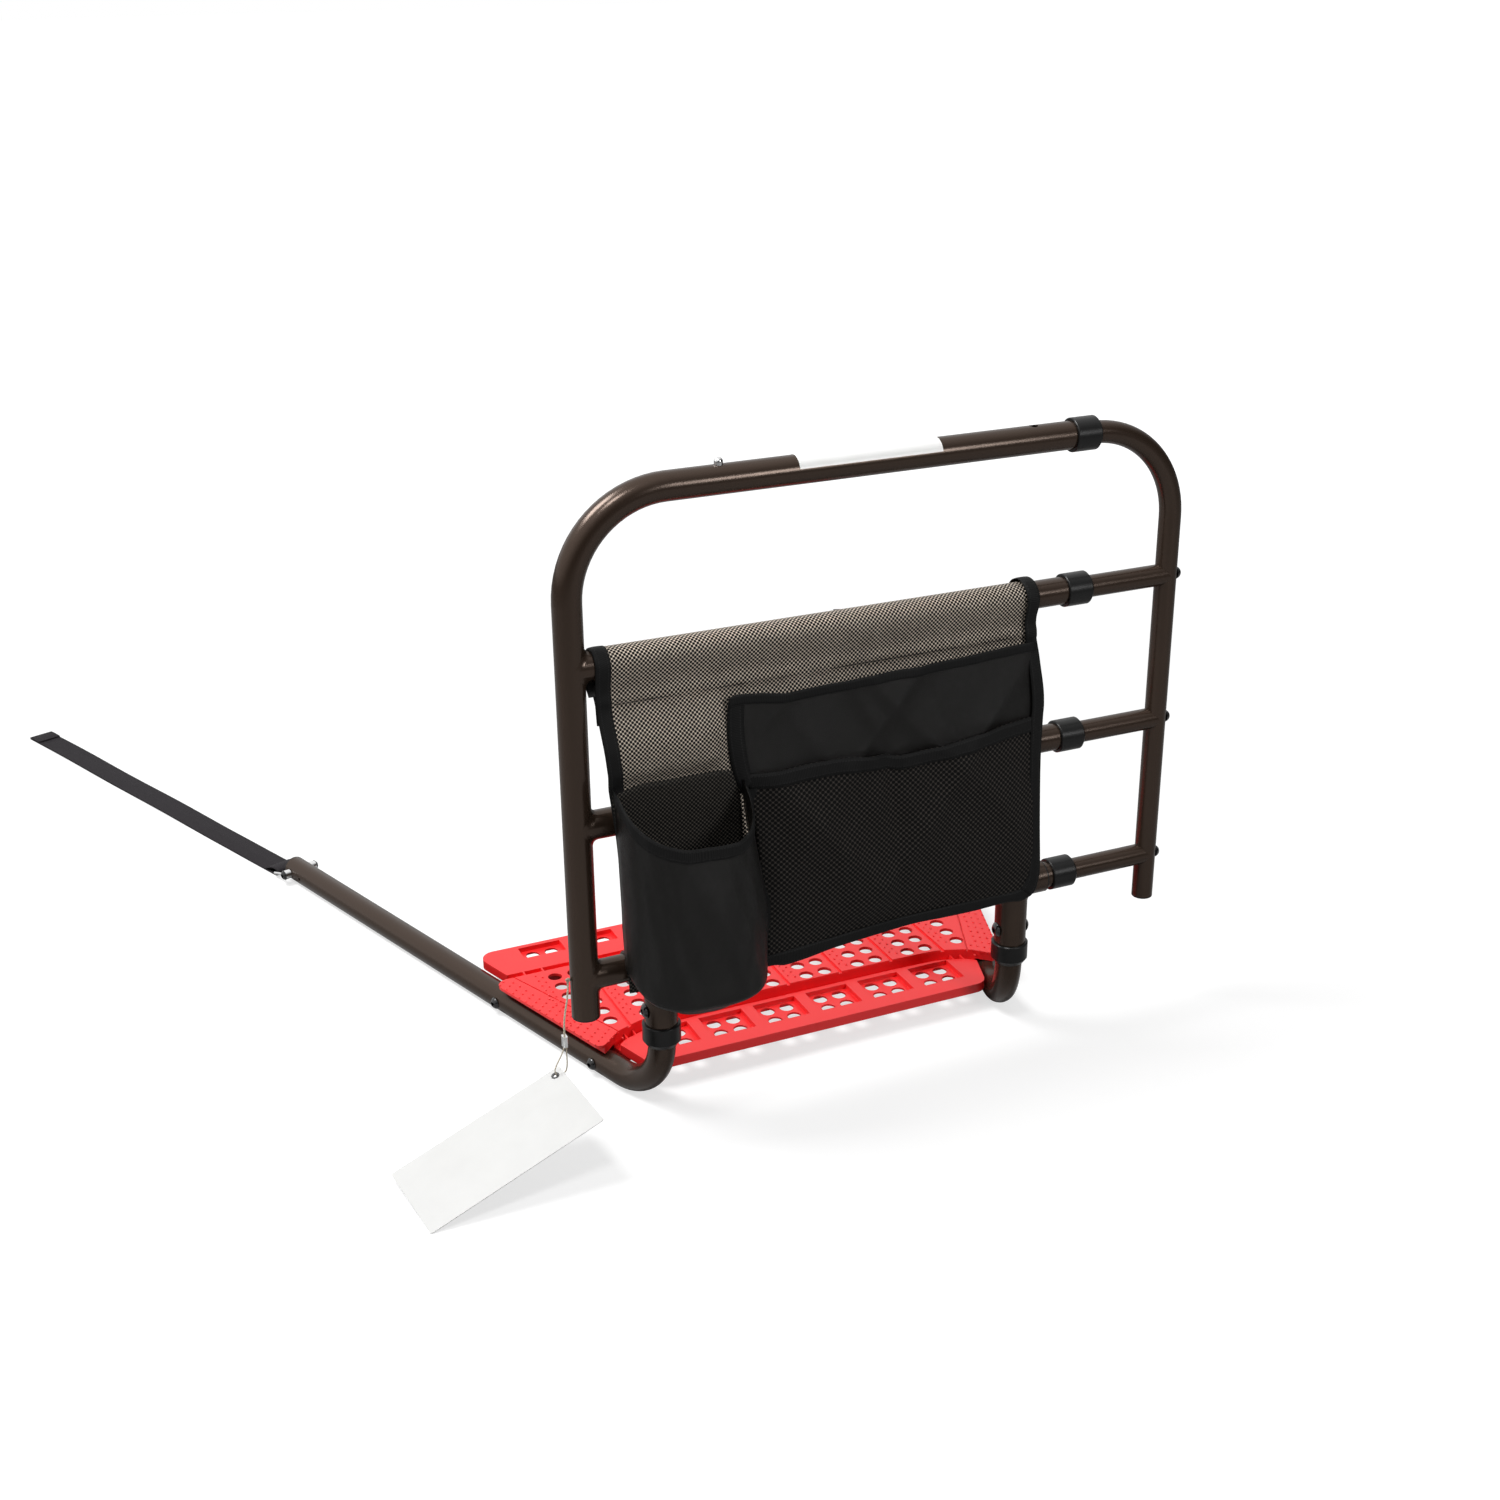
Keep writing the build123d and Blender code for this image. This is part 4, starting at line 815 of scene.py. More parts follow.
def cup_pieces(sizes):
    """The cup pocket: a nylon bag with a taped rim, and the mesh liner that it is sewn to, whose threads are
    a far darker copy of the panel's: painted shade inside the cup.
    """
    size = lambda u, v: (u * 0.25, v * 0.24)
    bag_bm = grid(64, 48, cup_place, size)
    bag = piece("cup_bag", bag_bm, "pocket_nylon", "pouch")
    thicken(bag, sizes.cloth)
    rim_bm = grid(
        5, 64, lambda u, v: cup_place(v, 1 - u * 0.072, 0.5 + 0.3 * (1 - (2 * u - 1) ** 4)),
        lambda u, v: (v * 0.25, (u - 0.5) * 0.016)
    )
    bmesh.ops.reverse_faces(rim_bm, faces=rim_bm.faces)
    rim = piece("cup_rim_tape", rim_bm, "ribbed_tape", "pouch")
    thicken(rim, sizes.tape)
    back_plan = patch(
        Line((44, -20), (41, 60), (39, 150), (33, 205), (33, 219)),
        Line((186, -20), (184, 60), (181, 150), (178, 200), (172, 222)),
        Line((44, -20), (115, -24), (186, -20)),
        Line((33, 219), (42.5, 221), (55, 224), (69, 226.5), (90, 226), (126, 225.5), (155, 225), (172, 222)),
    )
    back_bm = grid(
        30, 40, lambda u, v: spot(back_plan(u, v).x, CUP_BACK - 0.7, back_plan(u, v).y), in_metres(back_plan)
    )
    # The liner's darker mesh is painted shade inside the cup.
    liner = piece("cup_mesh_liner", back_bm, "painted_shade_cup_mesh", "pouch")
    thicken(liner, sizes.cloth)
    for part in (bag, rim, liner):
        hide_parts("cup_pocket")


# ---- Welds ----
def weld_collar(centre, along, upright, radius, leg=0.0065):
    """The concave bead where a tube's end is shaped to another of its size.

    centre is where the axes meet, along points out of the joint, upright along the other tube.
    """
    side = along.cross(upright).normalized()
    bm = bmesh.new()
    steps, rise = 72, 6

    def place(u, v):
        turn = 2 * math.pi * u
        across = radius * math.sin(turn)
        up = radius * math.cos(turn)
        meet = abs(up)
        width = leg * (0.45 + 0.55 * abs(math.cos(turn)))
        wobble = 1 + 0.10 * math.sin(turn * 17) + 0.06 * math.sin(turn * 29 + 1)
        on_bar = Vector((meet + width * wobble, across, up))
        grown = up + math.copysign(width * wobble, up)
        on_post = Vector((meet, across, grown))
        corner = Vector((meet + 0.0004, across * 1.02, up * 1.005 + math.copysign(0.0003, up)))
        t = v
        point = on_bar * (1 - t) ** 2 + corner * 2 * t * (1 - t) + on_post * t * t
        return centre + along * point.x + side * point.y + upright * point.z

    grid(steps, rise, place, lambda u, v: (u * 0.1, v * 0.01), bm)
    bmesh.ops.remove_doubles(bm, verts=bm.verts, dist=1e-6)
    bmesh.ops.recalc_face_normals(bm, faces=bm.faces)
    return bm


def joined(parts):
    """Several bmeshes in one."""
    whole = bmesh.new()
    for part in parts:
        mesh = bpy.data.meshes.new("part")
        part.to_mesh(mesh)
        part.free()
        whole.from_mesh(mesh)
        bpy.data.meshes.remove(mesh)
    return whole


# ---- Fasteners ----
def bolt_head(seat, axis, d, height, recess=0.0, shank_d=0.0, shank=0.0):
    """A domed head on its seat, with a hexagonal socket and a shank behind it."""
    bm = bmesh.new()
    ball = (d * d / 4 + height * height) / (2 * height)
    mouth = max(recess, 0.0004)
    profile_points = []
    if shank:
        profile_points += [
            (0.0001, -shank), (shank_d / 2 - 0.0004, -shank), (shank_d / 2, -shank + 0.0004),
            (shank_d / 2, 0.0)
        ]
    profile_points += [(d / 2 - 0.0002, 0.0), (d / 2, 0.0003)]
    start = math.asin(min((d / 2) / ball, 1.0))
    end = math.asin(mouth * 1.12 / ball)
    for step in range(1, 9):
        angle = start + (end - start) * step / 8
        profile_points.append((ball * math.sin(angle), height - ball + ball * math.cos(angle)))
    verts = [bm.verts.new((r, 0, z)) for r, z in profile_points]
    for a, b in zip(verts, verts[1:]):
        bm.edges.new((a, b))
    bmesh.ops.spin(
        bm, geom=bm.verts[:] + bm.edges[:], axis=(0, 0, 1), cent=(0, 0, 0), angle=2 * math.pi, steps=24,
        use_merge=True
    )
    top = max(vert.co.z for vert in bm.verts)
    rim = [
        edge for edge in bm.edges if edge.is_boundary and all(vert.co.z > top - 1e-5 for vert in edge.verts)
    ]
    if rim and recess:
        made = bmesh.ops.extrude_edge_only(bm, edges=rim)["geom"]
        ring = [item for item in made if isinstance(item, bmesh.types.BMVert)]
        for vert in ring:
            angle = math.atan2(vert.co.y, vert.co.x)
            sector = (angle % (math.pi / 3)) - math.pi / 6
            reach = recess * 0.866 / math.cos(sector)
            vert.co.x, vert.co.y = reach * math.cos(angle), reach * math.sin(angle)
            vert.co.z -= 0.0002
        edges = [item for item in made if isinstance(item, bmesh.types.BMEdge)]
        deep = bmesh.ops.extrude_edge_only(bm, edges=edges)["geom"]
        low = [item for item in deep if isinstance(item, bmesh.types.BMVert)]
        bmesh.ops.translate(bm, verts=low, vec=(0, 0, -height * 0.62))
        bmesh.ops.edgeloop_fill(bm, edges=[item for item in deep if isinstance(item, bmesh.types.BMEdge)])
    bmesh.ops.holes_fill(bm, edges=[edge for edge in bm.edges if edge.is_boundary])
    bmesh.ops.recalc_face_normals(bm, faces=bm.faces)
    turn = axis.to_track_quat("Z", "Y").to_matrix().to_4x4()
    bmesh.ops.transform(bm, matrix=Matrix.Translation(seat) @ turn, verts=bm.verts)
    return bm


# ---- Cords and straps ----
def spline_points(points, name):
    """The points that a smooth cord through these control points follows."""
    curve = bpy.data.curves.new(name, "CURVE")
    curve.dimensions = "3D"
    curve.resolution_u = 24
    route = curve.splines.new("NURBS")
    route.points.add(len(points) - 1)
    for knot, point in zip(route.points, points):
        knot.co = (*point, 1.0)
    route.order_u = 3
    route.use_endpoint_u = True
    holder = bpy.data.objects.new(name, curve)
    mesh = bpy.data.meshes.new_from_object(holder)
    read = [vert.co.copy() for vert in mesh.vertices]
    bpy.data.meshes.remove(mesh)
    bpy.data.objects.remove(holder)
    bpy.data.curves.remove(curve)
    return read


def frames_along(points, up):
    """Point, direction, side and upward directions along a path, turned as little as may be."""
    result = []
    for index, point in enumerate(points):
        ahead = (points[min(index + 1, len(points) - 1)] - points[max(index - 1, 0)]).normalized()
        up = (up - ahead * up.dot(ahead)).normalized()
        result.append((point, ahead, ahead.cross(up).normalized(), up.copy()))
    return result


def tube_along(points, radius, sides, strands=0, lay=0.0042, up=Vector((0, 1, 0))):
    """A mesh tube on a path, its strands raised where asked; u runs round it, v along in metres."""
    places = frames_along(points, up)
    marks = [0.0]
    for a, b in zip(points, points[1:]):
        marks.append(marks[-1] + (b - a).length)
    count = len(points) - 1

    def place(u, v):
        index = min(round(v * count), count)
        point, _, side, over = places[index]
        turn = 2 * math.pi * u
        swell = 1.0
        if strands:
            swell = 0.86 + 0.16 * abs(math.sin(strands / 2 * turn + math.pi * marks[index] / lay))
        return point + (side * math.cos(turn) + over * math.sin(turn)) * radius * swell

    bm = grid(sides, count, place, lambda u, v: (u, marks[min(round(v * count), count)]))
    bmesh.ops.remove_doubles(bm, verts=bm.verts, dist=1e-7)
    bmesh.ops.holes_fill(bm, edges=[edge for edge in bm.edges if edge.is_boundary])
    bmesh.ops.recalc_face_normals(bm, faces=bm.faces)
    return bm


LEG_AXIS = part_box("left_leg")[0][2] + tube_r
POST_X = (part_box("right_post")[0][0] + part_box("right_post")[1][0]) / 2
SPLAY = math.radians(18.0)
LEG_REACH = 0.820


def leg_place(side, along, across=0.0, z=LEG_AXIS):
    """Metres of a place on a leg, and the directions out of it and along it."""
    out = Vector((side * math.cos(SPLAY), -math.sin(SPLAY), 0))
    ahead = Vector((side * math.sin(SPLAY), math.cos(SPLAY), 0))
    return Vector((side * POST_X, rail_y, z)) + ahead * along + out * across, out, ahead


RING_BAR = LEG_REACH - 0.012 + 0.034
STRAP_LENGTH = 0.748
STRAP_ROUTE = [(30.2, 3.1), (14.2, 11.3), (-4.2, 11.2), (-4.2, 2.8), (12.2, 1.0), (240.0, 1.0), (748.0, 1.0)]


def strap(side, name):
    """One webbing strap: the loop on its ring, then flat on the floor to its folded tab."""
    start, _, _ = leg_place(side, RING_BAR, 0.0, 0.0)
    turn = math.radians(21.0)
    ahead = Vector((side * math.sin(turn), math.cos(turn), 0))
    across = ahead.cross(Vector((0, 0, 1)))
    route = [start + ahead * (x * MM) + Vector((0, 0, z * MM)) for x, z in STRAP_ROUTE]
    path = spline_points(route, name)
    width = 0.038
    places = frames_along(path, Vector((0, 0, 1)))
    marks = [0.0]
    for a, b in zip(path, path[1:]):
        marks.append(marks[-1] + (b - a).length)
    count = len(path) - 1

    def place(u, v):
        index = min(round(v * count), count)
        point = places[index][0]
        far = smooth_step((marks[index] - 0.12) / 0.1)
        lift = 0.0012 * far * (0.5 + 0.5 * math.sin(marks[index] * 21.0)) * (2 * u - 1) ** 2
        return point + across * (u - 0.5) * width + Vector((0, 0, lift))

    bm = grid(12, count, place, lambda u, v: ((u - 0.5) * width, marks[min(round(v * count), count)]))
    webbing = piece(name + "_webbing", bm, "woven_webbing", "base")
    thicken(webbing, 0.0017, 0.0)
    tab_bm = grid(
        12, 14,
        lambda u, v: start + ahead * (STRAP_LENGTH - 0.0005 - 0.0295 * v) + across * (u - 0.5) * width
        + Vector((0, 0, 0.0029 + 0.0006 * math.sin(math.pi * v))),
        lambda u, v: ((u - 0.5) * width, v * 0.03),
    )
    tab = piece(name + "_tab", tab_bm, "woven_webbing", "base")
    thicken(tab, 0.0017, 0.0)
    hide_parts(name)
    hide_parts("strap_tabs")
    tuple(start + ahead * 0.012 + Vector((0, 0, 0.008)))
    [tuple(p) for p in path]
    return webbing


class RAIL_OT_frame(bpy.types.Operator):
    """Finish the carried-over tubes, collars, plugs and fittings"""

    bl_idname = "rail.frame"
    bl_label = "Frame finishes"

    def execute(self, context):
        by_slot = {
            "frame_paint": "frame_coat", "black_plastic": "black_moulding", "inner_plastic": "inner_moulding",
            "black_bolt": "bolt_black", "chrome_wire": "chrome", "spring_steel": "spring_steel",
            "white_label": "bare_label", "red_board": "red_moulding", "webbing": "woven_webbing",
            "panel_mesh": "panel_mesh", "binding_tape": "ribbed_tape", "pocket_nylon": "pocket_nylon",
            "pocket_mesh": "pocket_mesh", "hook_tape": "hook_pile", "white_card": "card_painted_shade",
            "dark_eyelet": "eyelet_dark", "lanyard_cord": "twisted_cord", "ferrule_metal": "ferrule_metal",
        }
        for part in frame["record"]["subparts"]:
            obj = bpy.data.objects[part["node"]]
            obj.data.materials.clear()
            obj.data.materials.append(finish(by_slot[part["material_slot"]]))
        return {"FINISHED"}


class RAIL_OT_pouch(bpy.types.Operator):
    """Sew the pouch: panel, binding, pockets and tabs"""

    bl_idname = "rail.pouch"
    bl_label = "Pouch"

    def execute(self, context):
        sizes = context.scene.rail_pouch
        pouch_panel(sizes)
        pocket(
            "nylon_pocket_cloth", "nylon_pocket", nylon_plan, nylon_out, "pocket_nylon",
            70, 60, sizes
        )
        pocket(
            "mesh_pocket_cloth", "mesh_pocket", mesh_plan, mesh_out, "pocket_mesh", 90, 50,
            sizes
        )
        cup_pieces(sizes)
        for hem_piece in (
            hem("nylon_top_hem", nylon_plan, nylon_out, "top", 10.5, 80),
            hem("nylon_left_hem", nylon_plan, nylon_out, "left", 19.0, 60),
            hem("mesh_top_hem", mesh_plan, mesh_out, "top", 17.0, 90),
        ):
            thicken(hem_piece, sizes.tape)
            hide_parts("mesh_pocket" if hem_piece.name.startswith("mesh") else "nylon_pocket")
        for name, edge, inner, front in (
            (
                "binding_left", panel_left,
                Line(
                    (68, -5), (60, 3), (57, 13), (55.4, 24), (54.2, 60), (54, 116), (51, 172),
                    (45.5, 228), (40.5, 282), (38.5, 334), (38.5, 368), (38.5, 420), (39, SLEEVE_TOP)
                ),
                1.0
            ),
            (
                "binding_right", panel_right,
                Line(
                    (538, 2), (543, 8), (546, 14), (548, 25), (546, 87), (542, 167), (541, 218),
                    (541.5, 233), (540, 252), (536, 283), (532, 322), (531.5, 344), (532, 362),
                    (530.5, 420), (530.5, SLEEVE_TOP)
                ),
                4.4
            ),
            (
                "binding_bottom", panel_bottom,
                Line(
                    (68, -5), (88, -8.6), (120, -11), (170, -12), (216, -10.6), (243, -9), (295, -4.6),
                    (355, 0), (437, 2), (479, 1), (521, 0), (538, 2), (541, 4)
                ),
                4.4
            ),
        ):
            tape = binding(name, edge, inner, front, 0.9, 120)
            thicken(tape, sizes.tape, 0.0)

        def seam(share):
            spot_s = blend(42, 528, share)
            here = hang(spot_s, SEAM_T, 0.75)
            along = (hang(spot_s + 1, SEAM_T, 0.75) - here).normalized()
            return here, along, (hang(spot_s, SEAM_T, 1.75) - here).normalized()

        stitches("panel_seam", 124, seam)
        strip = piece(
            "hook_tab_strip",
            grid(
                6, 16, lambda u, v: hang(blend(16.9, 34, u), blend(TAB_T - 25, TAB_T, v), -0.9),
                lambda u, v: (u * 0.011, v * 0.025)
            ),
            "hook_pile", "pouch",
        )
        thicken(strip, 0.0014, 0.0)
        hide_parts("pouch_tab")
        return {"FINISHED"}


class RAIL_OT_welds(bpy.types.Operator):
    """Run the weld beads round the bars' and the posts' joints"""

    bl_idname = "rail.welds"
    bl_label = "Welds"

    def execute(self, context):
        upright = Vector((0, 0, 1))
        right = Vector((1, 0, 0))
        bars = [
            weld_collar(Vector((left_x, rail_y, pivot_z + k * bar_pitch)), right, upright, tube_r)
            for k in (0, 1, 2)
        ]
        piece("bar_weld_beads", joined(bars), "frame_coat", "rail")
        post_r = (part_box("left_post")[1][0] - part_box("left_post")[0][0]) / 2
        posts = [
            weld_collar(Vector((side * POST_X, rail_y, pivot_z)), -upright, right, post_r, 0.008)
            for side in (-1, 1)
        ]
        piece("post_weld_beads", joined(posts), "frame_coat", "base")
        return {"FINISHED"}


class RAIL_OT_bolts(bpy.types.Operator):
    """Turn the domed bolts and screws, with their hexagonal sockets"""

    bl_idname = "rail.bolts"
    bl_label = "Bolts and screws"

    def execute(self, context):
        right_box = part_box("end_frame_tube")
        right_face = right_box[1][0]
        post_r = (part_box("left_post")[1][0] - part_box("left_post")[0][0]) / 2
        bars = [
            bolt_head(
                Vector((right_face, rail_y, pivot_z + k * bar_pitch)), Vector((1, 0, 0)), 0.015, 0.007,
                0.0030, 0.006, 0.0577
            )
            for k in (0, 1, 2)
        ]
        posts = [
            bolt_head(
                Vector((side * POST_X + end * post_r, rail_y, pivot_z - 0.060)), Vector((end, 0, 0)),
                0.018, 0.005, 0.0036, 0.008, post_r
            )
            for side in (-1, 1)
            for end in (-1, 1)
        ]
        board, rings, screws = [], [], []
        for side in (-1, 1):
            for along in (0.1136, 0.3084):
                seat, out, _ = leg_place(side, along, tube_r)
                board.append(bolt_head(seat, out, 0.015, 0.005, 0.0030, 0.008, 0.0558))
            for end in (-1, 1):
                seat, out, _ = leg_place(side, LEG_REACH - 0.012, end * 0.0245)
                rings.append(bolt_head(seat, out * end, 0.014, 0.0045, 0.0028, 0.006, 0.0245))
            seat, out, _ = leg_place(side, LEG_REACH - 0.045, -tube_r)
            screws.append(bolt_head(seat, -out, 0.012, 0.004, 0.0022, 0.005, 0.0056))
        for name, node, made, body in (
            ("bar_bolt_heads", "bar_bolts", bars, "extension"),
            ("post_bolt_heads", "post_bolts", posts, "base"),
            ("board_bolt_heads", "board_bolts", board, "base"),
            ("ring_bolt_heads", "ring_bolts", rings, "base"),
            ("end_screw_heads", "end_screws", screws, "base"),
        ):
            obj = piece(name, joined(made), "bolt_black", body, sharp=38)
            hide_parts(node)
        return {"FINISHED"}


class RAIL_OT_straps(bpy.types.Operator):
    """Lay the two webbing straps"""

    bl_idname = "rail.straps"
    bl_label = "Straps"

    def execute(self, context):
        strap(-1, "left_strap")
        strap(1, "right_strap")
        return {"FINISHED"}


def lanyard_frame():
    """The tag's eyelet: its centre, and the ways down the card and off its face."""
    low, high = (Vector(corner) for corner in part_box("tag_eyelet"))
    slope, heading, roll = (math.radians(a) for a in (20.0, 5.0, 5.0))
    ahead = Vector((-math.cos(heading), -math.sin(heading), 0))
    upright = Vector((0, 0, 1))
    level = Vector((math.sin(heading), -math.cos(heading), 0))
    down = ahead * math.cos(slope) - upright * math.sin(slope)
    flat_facing = ahead * math.sin(slope) + upright * math.cos(slope)
    return (low + high) / 2, down, flat_facing * math.cos(roll) + level * math.sin(roll)


def twisted(name, points, diameter, node):
    """A twisted cord on its route, as a mesh tube."""
    path = spline_points(points, name)
    cord = piece(
        name, tube_along(path, diameter / 2, 12, 3, diameter * 2.4), "twisted_cord", "base"
    )
    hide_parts(node)
    return cord, path


class RAIL_OT_lanyard(bpy.types.Operator):
    """Hang the tag's lanyard: knot, cord, crimp and loop"""

    bl_idname = "rail.lanyard"
    bl_label = "Lanyard"

    def execute(self, context):
        bead = Vector((left_x - tube_r - 0.0033, rail_y, pivot_z))
        top = Vector((bead.x - 0.007, rail_y, pivot_z - 0.068))
        route = [
            bead - Vector((0, 0, 0.00302)), bead - Vector((0.001, 0, 0.020)),
            bead - Vector((0.0056, 0, 0.042)),
            top + Vector((0, 0, 0.011)), top,
        ]
        cord, path = twisted("lanyard_upper", route, 0.0022, "tag_cord")
        fine = bpy.data.curves.new("knot", "CURVE")
        fine.dimensions = "3D"
        fine.bevel_depth = 0.00105
        fine.bevel_resolution = 4
        ring = fine.splines.new("NURBS")
        turns = 36
        ring.points.add(turns - 1)
        for index, knot in enumerate(ring.points):
            t = 2 * math.pi * index / turns
            knot.co = (
                bead.x + 0.0006 * (math.sin(t) + 2 * math.sin(2 * t)),
                bead.y - 0.0009 * math.sin(3 * t),
                bead.z + 0.0009 * (math.cos(t) - 2 * math.cos(2 * t)),
                1.0,
            )
        ring.use_cyclic_u = True
        ring.order_u = 3
        holder = bpy.data.objects.new("knot", fine)
        made = bpy.data.meshes.new_from_object(holder)
        bm = bmesh.new()
        bm.from_mesh(made)
        bpy.data.objects.remove(holder)
        bpy.data.curves.remove(fine)
        bpy.data.meshes.remove(made)
        bm.loops.layers.uv.get("UVMap") or bm.loops.layers.uv.new("UVMap")
        bmesh.ops.recalc_face_normals(bm, faces=bm.faces)
        knot_piece = piece("lanyard_knot", bm, "twisted_cord", "base")
        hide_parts("tag_bead")

        bm = bmesh.new()
        bmesh.ops.create_cube(bm, size=1.0)
        bmesh.ops.scale(bm, vec=(0.0055, 0.0085, 0.013), verts=bm.verts)
        upright = [edge for edge in bm.edges if abs(edge.verts[0].co.z - edge.verts[1].co.z) > 0.01]
        bmesh.ops.bevel(bm, geom=upright, offset=0.0012, segments=3, profile=0.5, affect="EDGES", material=-1)
        sides = [face for face in bm.faces if abs(face.normal.x) > 0.9]
        bmesh.ops.inset_region(bm, faces=sides, thickness=0.0014, depth=-0.0006, use_even_offset=True)
        bmesh.ops.bevel(
            bm, geom=bm.edges[:], offset=0.0002, segments=2, profile=0.5, affect="EDGES", material=-1
        )
        middle = top - Vector((0, 0, 0.0065))
        bmesh.ops.translate(bm, vec=middle, verts=bm.verts)
        crimp = piece("lanyard_crimp", bm, "ferrule_metal", "base", sharp=30)
        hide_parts("tag_ferrule")

        eye, down, facing = lanyard_frame()
        eye = eye - down * 0.00145
        low = top - Vector((0, 0, 0.013))
        route = [
            low + Vector((-0.0014, 0, 0)), low + Vector((-0.0014, 0, -0.005)),
            eye + facing * 0.009 - down * 0.0005,
            eye + facing * 0.0032, eye - facing * 0.0034, eye - facing * 0.0044 - down * 0.008,
            eye - down * 0.0145, low + Vector((0.0014, 0, -0.006)), low + Vector((0.0014, 0, 0)),
        ]
        loop, loop_path = twisted("lanyard_loop", route, 0.0015, "tag_loop")
        tuple(path[0])
        [tuple(p) for p in path]
        tuple(loop_path[0])
        [tuple(p) for p in loop_path]
        return {"FINISHED"}


MODULE = 71.4
GRIP_TOP = LEG_AXIS + 0.028


class RAIL_OT_board(bpy.types.Operator):
    """Raise the small grip ticks on the board's plateau"""

    bl_idname = "rail.board"
    bl_label = "Board ticks"

    def execute(self, context):
        spots = []
        for k in range(-4, 4):
            middle = (k + 0.5) * MODULE
            for shift in (-34.5, -27.5):
                for row in range(11):
                    spots.append((middle + shift, 145 + 13.2 * row + (6.6 if shift < -30 else 0)))
        for side in (-1, 1):
            for column in range(7):
                for row in range(15):
                    y = 98 + 13.0 * row + 6.5 * (column % 2)
                    x = 272 + 0.3249 * (y - 200) + 34 - 8.6 * column
                    if x > 226.75 + 12 + (y - 119) * 0.41 + 6 and y < 288:
                        spots.append((side * x, y))
        bm = bmesh.new()
        for x, y in spots:
            limit = 226.75 + 12 + (y - 119) * 0.41
            if abs(x) < 262 and abs(x) > limit - 6 and abs(x) < limit + 3:
                continue
            made = bmesh.ops.create_cube(bm, size=1.0)["verts"]
            for vert in made:
                if vert.co.z > 0:
                    vert.co.y = vert.co.y * 0.25 + 0.2
                    vert.co.x *= 0.45
            bmesh.ops.scale(bm, vec=(0.0026, 0.0042, 0.0014), verts=made)
            bmesh.ops.translate(bm, vec=(x * MM, rail_y + y * MM, GRIP_TOP + 0.0005), verts=made)
        piece("board_ticks", bm, "red_moulding", "base")
        return {"FINISHED"}


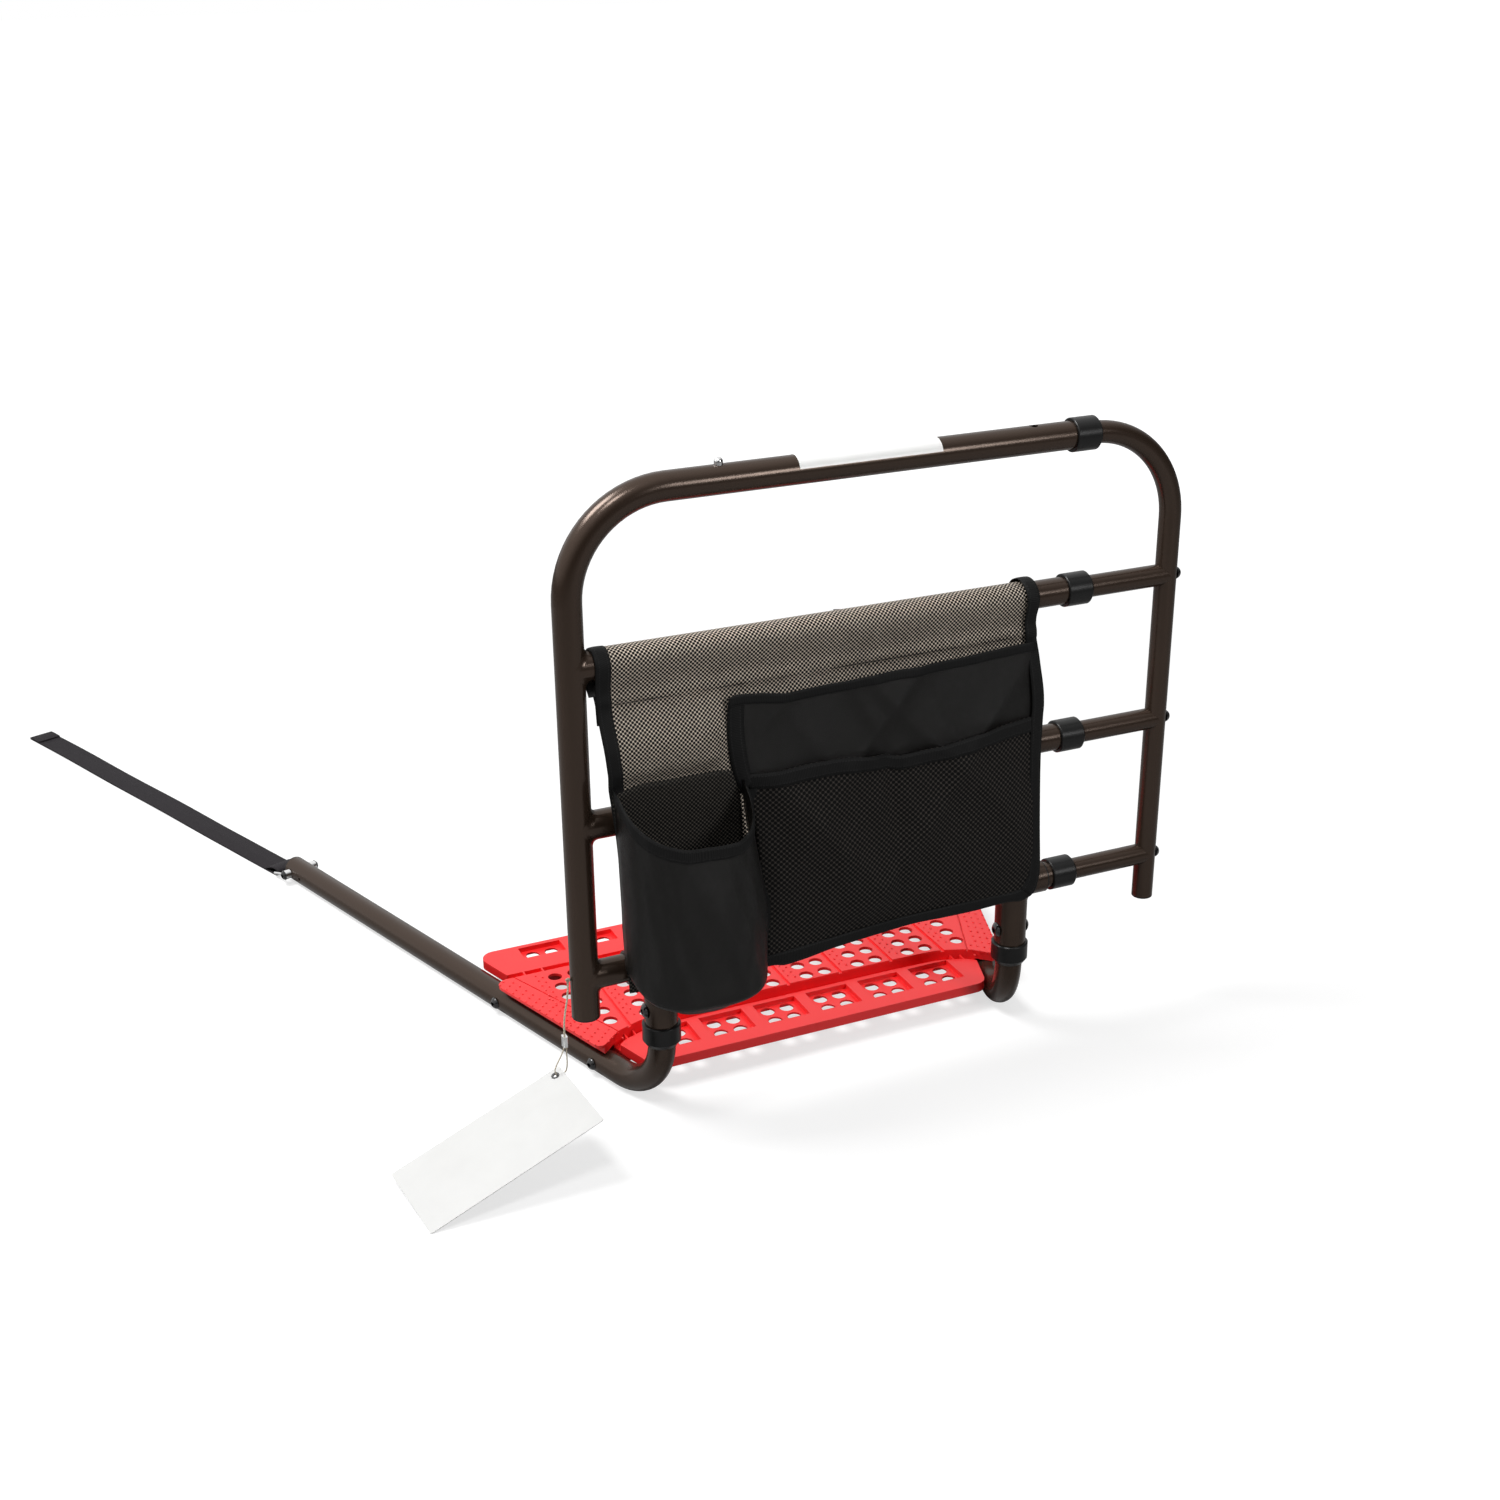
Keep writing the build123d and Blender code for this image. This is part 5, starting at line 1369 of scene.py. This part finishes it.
class RAIL_OT_stage(bpy.types.Operator):
    """Set the floor, the lamps, the sky and the camera"""

    bl_idname = "rail.stage"
    bl_label = "Stage"

    def execute(self, context):
        scene = context.scene
        scene.view_settings.view_transform = "Standard"
        bm = bmesh.new()
        bmesh.ops.create_grid(bm, x_segments=1, y_segments=1, size=30.0)
        mesh = bpy.data.meshes.new("floor")
        bm.to_mesh(mesh)
        bm.free()
        floor = bpy.data.objects.new("floor", mesh)
        scene.collection.objects.link(floor)
        f = Finish("pale_floor")
        seen = f.out(f.node("ShaderNodeLightPath"), "Is Camera Ray")
        plain = f.out(f.node("ShaderNodeBsdfDiffuse", None, FLOOR_GREY))
        x, y, z = f.place()
        behind = y - FLOOR_CENTRE_Y
        far = (x * x + behind * behind).power(0.5).ramp(*FLOOR_FADE)
        level = far * FAR_GLOW + FLOOR_GLOW
        glow = f.out(f.node("ShaderNodeEmission", None, (1, 1, 1, 1), seen * level))
        f.node("ShaderNodeOutputMaterial", None, f.out(f.node("ShaderNodeAddShader", None, plain, glow)))
        mesh.materials.append(f.material)

        world = bpy.data.worlds.new("studio")
        scene.world = world
        f = Finish("studio", world)
        rays = f.node("ShaderNodeLightPath")
        seen, glossy, through = (
            f.out(rays, name) for name in ("Is Camera Ray", "Is Glossy Ray", "Is Transmission Ray")
        )
        x, y, z = f.axes(f.out(f.node("ShaderNodeTexCoord"), "Generated"))
        open_side = (z * 0.9 + y * 0.55 - x * 0.45).ramp(-0.35, 0.85, 0.04, 1.1)
        shine = glossy.most(through) * open_side
        light = (1.0 - glossy.most(through)) * (open_side * SKY_LIGHT)
        strength = seen.most((1.0 - seen) * (shine + light))
        sky = f.out(f.node("ShaderNodeBackground", None, (1, 1, 1, 1), strength))
        f.node("ShaderNodeOutputWorld", None, sky)

        for name, where, power, size in (
            ("lamp_key", (-1.5, 0.35, 2.7), 74.0, 1.1),
            ("lamp_front", (-1.2, -1.5, 3.3), 34.0, 0.7),
            ("lamp_fill", (1.25, -2.9, 1.55), 30.0, 0.8),
        ):
            lamp = bpy.data.lights.new(name, "AREA")
            lamp.energy = power
            lamp.size = size
            holder = bpy.data.objects.new(name, lamp)
            holder.location = where
            aim = Vector((0, 0, 0.3)) - Vector(where)
            holder.rotation_euler = aim.to_track_quat("-Z", "Y").to_euler()
            scene.collection.objects.link(holder)

        lens = bpy.data.cameras.new("camera")
        lens.sensor_width = SENSOR_MM
        lens.lens = LENS_MM
        camera = bpy.data.objects.new("camera", lens)
        right = Vector((0.91221, -0.40962, -0.00957))
        up = Vector((0.16645, 0.34914, 0.92217))
        back = Vector((-0.37440, -0.84280, 0.38666))
        turned = Matrix((right, up, back)).transposed().to_4x4()
        camera.matrix_world = Matrix.Translation(CAMERA_PLACE) @ turned
        scene.collection.objects.link(camera)
        scene.camera = camera
        return {"FINISHED"}


class RAIL_PT_panel(bpy.types.Panel):
    """The steps that dress the rail"""

    bl_label = "Bed rail"
    bl_idname = "RAIL_PT_panel"
    bl_space_type = "VIEW_3D"
    bl_region_type = "UI"
    bl_category = "Bed rail"

    def draw(self, context):
        for step in STEPS:
            self.layout.operator(step.bl_idname)


STEPS = (
    RAIL_OT_frame, RAIL_OT_welds, RAIL_OT_bolts, RAIL_OT_pouch, RAIL_OT_straps,
    RAIL_OT_lanyard, RAIL_OT_board, RAIL_OT_stage,
)
CLASSES = (RailPouchSizes, RailColours) + STEPS + (RAIL_PT_panel,)


def register():
    for cls in CLASSES:
        bpy.utils.register_class(cls)
    bpy.types.Scene.rail_pouch = PointerProperty(type=RailPouchSizes)
    bpy.types.Scene.rail_colours = PointerProperty(type=RailColours)


def unregister():
    del bpy.types.Scene.rail_colours
    del bpy.types.Scene.rail_pouch
    for cls in reversed(CLASSES):
        bpy.utils.unregister_class(cls)


def main():
    import json

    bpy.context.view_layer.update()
    register()
    bpy.ops.rail.frame()
    bpy.ops.rail.welds()
    bpy.ops.rail.bolts()
    bpy.ops.rail.straps()
    bpy.ops.rail.lanyard()
    bpy.ops.rail.board()
    bpy.ops.rail.pouch()
    bpy.ops.rail.stage()


if __name__ == "__main__":
    main()
